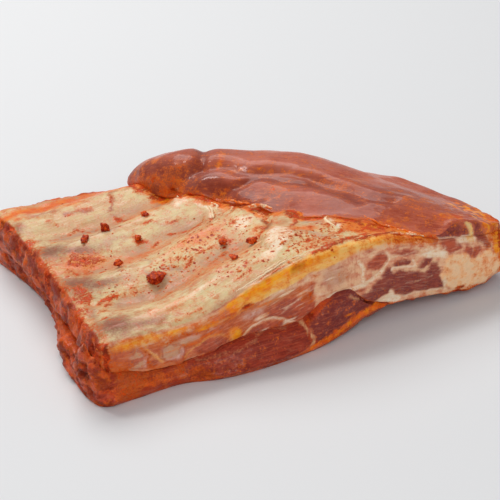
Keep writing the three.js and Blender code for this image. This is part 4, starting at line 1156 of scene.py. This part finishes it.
# %% A helper for geometry node pieces
def node_tree(name, sizes):
    """A new geometry node tree with named number inputs, as a Wire over its group input."""
    tree = bpy.data.node_groups.new(name, "GeometryNodeTree")
    tree.interface.new_socket("Geometry", in_out="INPUT", socket_type="NodeSocketGeometry")
    tree.interface.new_socket("Geometry", in_out="OUTPUT", socket_type="NodeSocketGeometry")
    for key, value in sizes.items():
        kind = "NodeSocketInt" if isinstance(value, int) else "NodeSocketFloat"
        tree.interface.new_socket(key, in_out="INPUT", socket_type=kind)
    return tree, {socket.name: Wire(tree, socket) for socket in tree.nodes.new("NodeGroupInput").outputs
        if socket.name}


def run_nodes(name, mesh, tree, sizes):
    """Run a tree on a mesh and keep the result as a plain mesh object at the origin."""
    piece = new_object(name, mesh)
    modifier = piece.modifiers.new(name, "NODES")
    modifier.node_group = tree
    for item in tree.interface.items_tree:
        if item.item_type == "SOCKET" and item.in_out == "INPUT" and item.name in sizes:
            modifier[item.identifier] = sizes[item.name]
    made = bpy.data.meshes.new_from_object(piece.evaluated_get(bpy.context.evaluated_depsgraph_get()))
    piece.modifiers.clear()
    piece.data = made
    return piece


def finish_tree(tree, geometry, material):
    """End a tree in real geometry with a material."""
    geometry = geometry.node("GeometryNodeRealizeInstances", inputs={"Geometry": geometry})
    geometry = geometry.node("GeometryNodeSetShadeSmooth", inputs={"Geometry": geometry})
    geometry = geometry.node("GeometryNodeSetMaterial", inputs={"Geometry": geometry, "Material": material})
    tree.links.new(geometry.socket, tree.nodes.new("NodeGroupOutput").inputs[0])


# %% [markdown]
# A grain of spice or a crumb of paste is dark red in its middle and orange where oil wets it. A "tint"
# value on each one moves its colour between the two, so no two look alike.


# %% A material for grains, crumbs and strands
def make_small(name, dark, light, size, roughness=0.45, bump=0.4):
    material, shader, wire = new_material(name)
    place = in_millimetres(wire)
    coarse, fine = grain(place, size, 3), grain(place, size / 4, 2)
    tint = wire.node("ShaderNodeAttribute", {"attribute_name": "tint"}, out="Fac")
    paint = blend(soft_step(tint + (coarse - 0.5) * 1.6 + (fine - 0.5) * 0.6, 0.2, 0.8), dark, light)
    relief = wire.node("ShaderNodeBump",
        inputs={"Strength": bump, "Distance": 0.0004, "Height": coarse + fine * 0.5})
    wire.feed(shader, {"Base Color": paint, "Roughness": roughness + (coarse - 0.5) * 0.4, "Normal": relief,
                       "Coat Weight": 0.06, "Coat Roughness": 0.2, "Specular IOR Level": 0.14})
    return material


# %% Scatter the spice over the slab
spice_look = make_small("spice_flakes", colour(180, 54, 14), colour(236, 120, 44), 0.9)
spice_sizes = {"Flakes per square metre": 90000.0, "Flake radius": 0.0005, "Seed": 5189}
tree, given = node_tree("scatter_spice", spice_sizes)
wire = given["Geometry"]
spicy = wire.node("GeometryNodeInputNamedAttribute", {"data_type": "FLOAT"}, {"Name": "spice"})
on_faces = wire.node("GeometryNodeDistributePointsOnFaces", {"distribute_method": "RANDOM"},
    {"Mesh": given["Geometry"], "Density": spicy * spicy * given["Flakes per square metre"],
        "Seed": given["Seed"]})
flake = wire.node("GeometryNodeMeshIcoSphere", inputs={"Radius": given["Flake radius"], "Subdivisions": 1})
widths = wire.node("FunctionNodeRandomValue", {"data_type": "FLOAT_VECTOR"},
                   {"Min": (0.4, 0.4, 0.3), "Max": (1.8, 1.2, 0.6), "Seed": given["Seed"]})
flakes = wire.node("GeometryNodeInstanceOnPoints",
    inputs={"Points": on_faces, "Instance": flake, "Rotation": on_faces.also("Rotation"), "Scale": widths})
spin = wire.node("FunctionNodeRandomValue", {"data_type": "FLOAT_VECTOR"},
    {"Min": (0.0, 0.0, 0.0), "Max": (0.4, 0.4, 2 * pi)})
flakes = wire.node("GeometryNodeRotateInstances", inputs={"Instances": flakes, "Rotation": spin})
chance = wire.node("FunctionNodeRandomValue", {"data_type": "FLOAT"}, out=1)
flakes = wire.node("GeometryNodeStoreNamedAttribute", {"data_type": "FLOAT", "domain": "INSTANCE"},
                   {"Geometry": flakes, "Name": "tint", "Value": chance})
finish_tree(tree, flakes, spice_look)
spice_piece = run_nodes("spice_flakes", slab_piece.data.copy(), tree, spice_sizes)
place_piece(spice_piece)

# %% [markdown]
# The nine larger crumbs of dried paste are part of the solids, so each keeps its place and size. A crumb is
# a rounded block with a rough, pitted skin, half sunk into the membrane.

# %% The crumbs
CRUMBS = [(42, 38, 6.4, 5.2, 3.0, 20), (29, 84, 5.6, 2.6, 2.2, 62), (40, 88, 2.8, 3.4, 4.4, 10),
    (34, 59, 3.6, 2.8, 2.0, 35), (49, 74, 3.2, 2.6, 1.8, 70), (58, 88, 3.6, 2.6, 1.8, 120),
    (80, 29, 4.0, 3.0, 2.2, 15), (72, 40, 3.4, 2.8, 1.8, 40), (69, 23, 3.2, 2.4, 1.6, 100)]
CRUMB_CELLS = 12
cells, crumb_faces = block_skin(CRUMB_CELLS, CRUMB_CELLS, CRUMB_CELLS)
ball = 2 * cells / CRUMB_CELLS - 1
ball = ball / np.linalg.norm(ball, axis=1, keepdims=True)
ball = np.sign(ball) * np.abs(ball) ** 0.75
crumb_points, all_crumb_faces, crumb_tint = [], [], []
for number, (x, y, length, width, height, turn) in enumerate(CRUMBS):
    c, s = cos(radians(turn)), sin(radians(turn))
    p = ball * [length / 2, width / 2, height / 2]
    p = p * (1 + 0.5 * many_lumps(ball + 9.1 * number, 0.9, 3, 60)[:, None])
    p = np.stack([x + p[:, 0] * c - p[:, 1] * s, y + p[:, 0] * s + p[:, 1] * c,
                  slab_top(x, y) + 0.3 * height + p[:, 2]], -1)
    crumb_points.append(p)
    all_crumb_faces.append(crumb_faces + number * len(ball))
    crumb_tint.append(np.full(len(ball), 0.38 if number < 3 else 0.5))
crumb_look = make_small("dried_paste_crumbs", colour(146, 22, 4), colour(240, 96, 20), 1.6, 0.5, 0.8)
crumb_mesh = marked_mesh("crumbs", np.concatenate(crumb_points), np.concatenate(all_crumb_faces),
                         {"tint": np.concatenate(crumb_tint)}, crumb_look)
crumbs = new_object("crumbs", crumb_mesh)
place_piece(crumbs)

# %% [markdown]
# Torn strands of fat and skin lie along the skirt's edge. Each is a line of points with a thickness. One
# tree of geometry nodes turns every line into a tube, roughens it and fills its ends.


# %% Strands along lines
def on_slab(lift, *points):
    """Points laid on the slab's top, lifted a little."""
    return [(x, y, float(slab_top(x, y)) + lift) for x, y in points]


STRANDS = [(0.9, 0.45, on_slab(0.4, (124, 24), (127, 19), (129, 13), (133.5, 9))),
    (0.8, 0.5, on_slab(0.3, (131, 9), (136, 5), (138, 1.4), (142.5, 0))),
    (0.5, 0.4, on_slab(0.3, (128, 4), (132, 2), (137, 0.6), (141, -0.2))),
    (0.1, 0.8, on_slab(-0.1, (114, 30), (111, 25), (110.4, 20), (111.6, 15))),
    (0.0, 0.3, on_slab(0.5, (60, 2.4), (66.5, 3.4), (73, 3.6), (79, 4.2), (85, 4.6), (89, 3))),
    (0.05, 0.25, on_slab(0.4, (70, 5.4), (77, 5.8), (84, 6.6))),
    (0.15, 0.6, on_slab(0, (78.5, 62), (80, 66.5), (82, 72), (82, 76))),
    (0.2, 0.5, on_slab(0, (83.5, 70), (85.4, 74), (84.6, 78))),
    (0.2, 0.4, on_slab(0, (76, 85), (78.4, 89), (77, 95), (78, 99))),
    (0.3, 0.45, on_slab(0, (86, 61), (88.5, 65), (87.8, 70))),
    (0.55, 0.8, on_slab(1.8, (90.5, 53.6), (93.5, 52.4), (96, 50), (97.5, 46))),
    (0.8, 0.5, on_slab(2.2, (88, 72), (90.6, 66), (90, 60), (92, 56))),
    (0.85, 0.5, on_slab(1.6, (75, 104), (80, 99.5), (82, 95), (84, 89)))]
places, edges, girths, tints = [], [], [], []
for tint, radius, points in STRANDS:
    share = np.linspace(0, 1, len(points))
    edges += [(len(places) + k, len(places) + k + 1) for k in range(len(points) - 1)]
    places += points
    girths += (radius * (0.35 + 0.65 * np.sin(pi * (0.12 + 0.76 * share)))).tolist()
    tints += [tint] * len(points)
lines = bpy.data.meshes.new("strand_lines")
lines.from_pydata(to_metres(places).tolist(), edges, [])
add_mark(lines, "girth", girths)
add_mark(lines, "tint", tints)

strand_sizes = {"Step": 0.0005, "Thickness": 0.001, "Roughness": 0.0022, "Seed": 7}
tree, given = node_tree("strands_along_lines", strand_sizes)
wire = given["Geometry"]
curves = wire.node("GeometryNodeMeshToCurve", inputs={"Mesh": wire})
curves = wire.node("GeometryNodeCurveSplineType", {"spline_type": "CATMULL_ROM"}, {"Curve": curves})
curves = wire.node("GeometryNodeResampleCurve", {"mode": "LENGTH"},
    {"Curve": curves, "Length": given["Step"]})
girth = wire.node("GeometryNodeInputNamedAttribute", {"data_type": "FLOAT"}, {"Name": "girth"})
curves = wire.node("GeometryNodeSetCurveRadius", inputs={"Curve": curves, "Radius": girth})
ring = wire.node("GeometryNodeCurvePrimitiveCircle", inputs={"Resolution": 10, "Radius": given["Thickness"]})
tubes = wire.node("GeometryNodeCurveToMesh",
    inputs={"Curve": curves, "Profile Curve": ring, "Scale": girth, "Fill Caps": True})
wander = wire.node("ShaderNodeTexNoise", {"noise_dimensions": "4D"},
    {"W": given["Seed"], "Scale": 380.0, "Detail": 3.0}, out="Color")
offset = wander.node("ShaderNodeVectorMath", {"operation": "SUBTRACT"}, {0: wander, 1: (0.5, 0.5, 0.5)})
offset = offset.node("ShaderNodeVectorMath", {"operation": "SCALE"}, {0: offset, "Scale": given["Roughness"]})
tubes = wire.node("GeometryNodeSetPosition", inputs={"Geometry": tubes, "Offset": offset})
strand_look = make_small("torn_fat_and_skin", colour(250, 222, 182), colour(238, 110, 18), 2.2, 0.4, 0.6)
finish_tree(tree, tubes, strand_look)
strands_piece = run_nodes("torn_strands", lines, tree, strand_sizes)
place_piece(strands_piece)

# %% [markdown]
# ## Floor, light and camera
# A pale floor, a broad soft light from behind, a weaker one in front and a bright surround give the even
# light of a food studio. A small bright light at the left puts the wet highlights on the meat. The camera
# stands where the photographer's stood: its tilt, roll and lens were worked out from the square texture of
# the board.

# %% Floor
floor_mesh = bpy.data.meshes.new("floor")
floor_mesh.from_pydata([(-3, -3, 0), (3, -3, 0), (3, 3, 0), (-3, 3, 0)], [], [(0, 1, 2, 3)])
floor_look, floor_shader, wire = new_material("pale_floor")
wire.feed(floor_shader, {"Base Color": colour(226, 227, 229), "Roughness": 0.7})
floor_mesh.materials.append(floor_look)
floor = new_object("floor", floor_mesh)


# %% Light
def soft_light(name, place, size, power, tint):
    lamp = bpy.data.lights.new(name, "AREA")
    lamp.shape, lamp.size, lamp.energy, lamp.color = "DISK", size, power, tint
    holder = new_object(name, lamp)
    holder.location = place
    holder.rotation_euler = (-Vector(place)).to_track_quat("-Z", "Y").to_euler()


soft_light("overhead", (0.1, 1.0, 1.3), 1.2, 15.5, (1, 0.99, 0.97))
soft_light("window", (-0.45, 0.5, 0.9), 0.2, 2.2, (1, 0.99, 0.97))
soft_light("front_fill", (-0.35, -1.1, 0.8), 1.0, 6.0, (1, 0.99, 0.98))
world = bpy.data.worlds.new("studio")
world.use_nodes = True
Wire(world.node_tree).feed(world.node_tree.nodes["Background"],
                           {"Color": (0.97, 0.98, 1, 1), "Strength": 0.31})
bpy.context.scene.world = world
bpy.context.scene.view_settings.view_transform = "Standard"

# %% Camera
CAMERA_PLACE = (-136.5, -443.7, 294.0)
TURN, TILT, ROLL = radians(24.5), radians(26.8), radians(3.5)
level = Vector((sin(TURN), cos(TURN), 0))
right, up = Vector((cos(TURN), -sin(TURN), 0)), level * sin(TILT) + Vector((0, 0, cos(TILT)))
axes = (right * cos(ROLL) - up * sin(ROLL), up * cos(ROLL) + right * sin(ROLL),
        -(level * cos(TILT) - Vector((0, 0, sin(TILT)))))
lens = bpy.data.cameras.new("camera")
lens.sensor_width, lens.lens = 36, 106.2
lens.clip_start = 0.01
camera = new_object("camera", lens)
camera.matrix_world = Matrix.Translation(to_metres(CAMERA_PLACE)) @ Matrix(axes).transposed().to_4x4()
bpy.context.scene.camera = camera
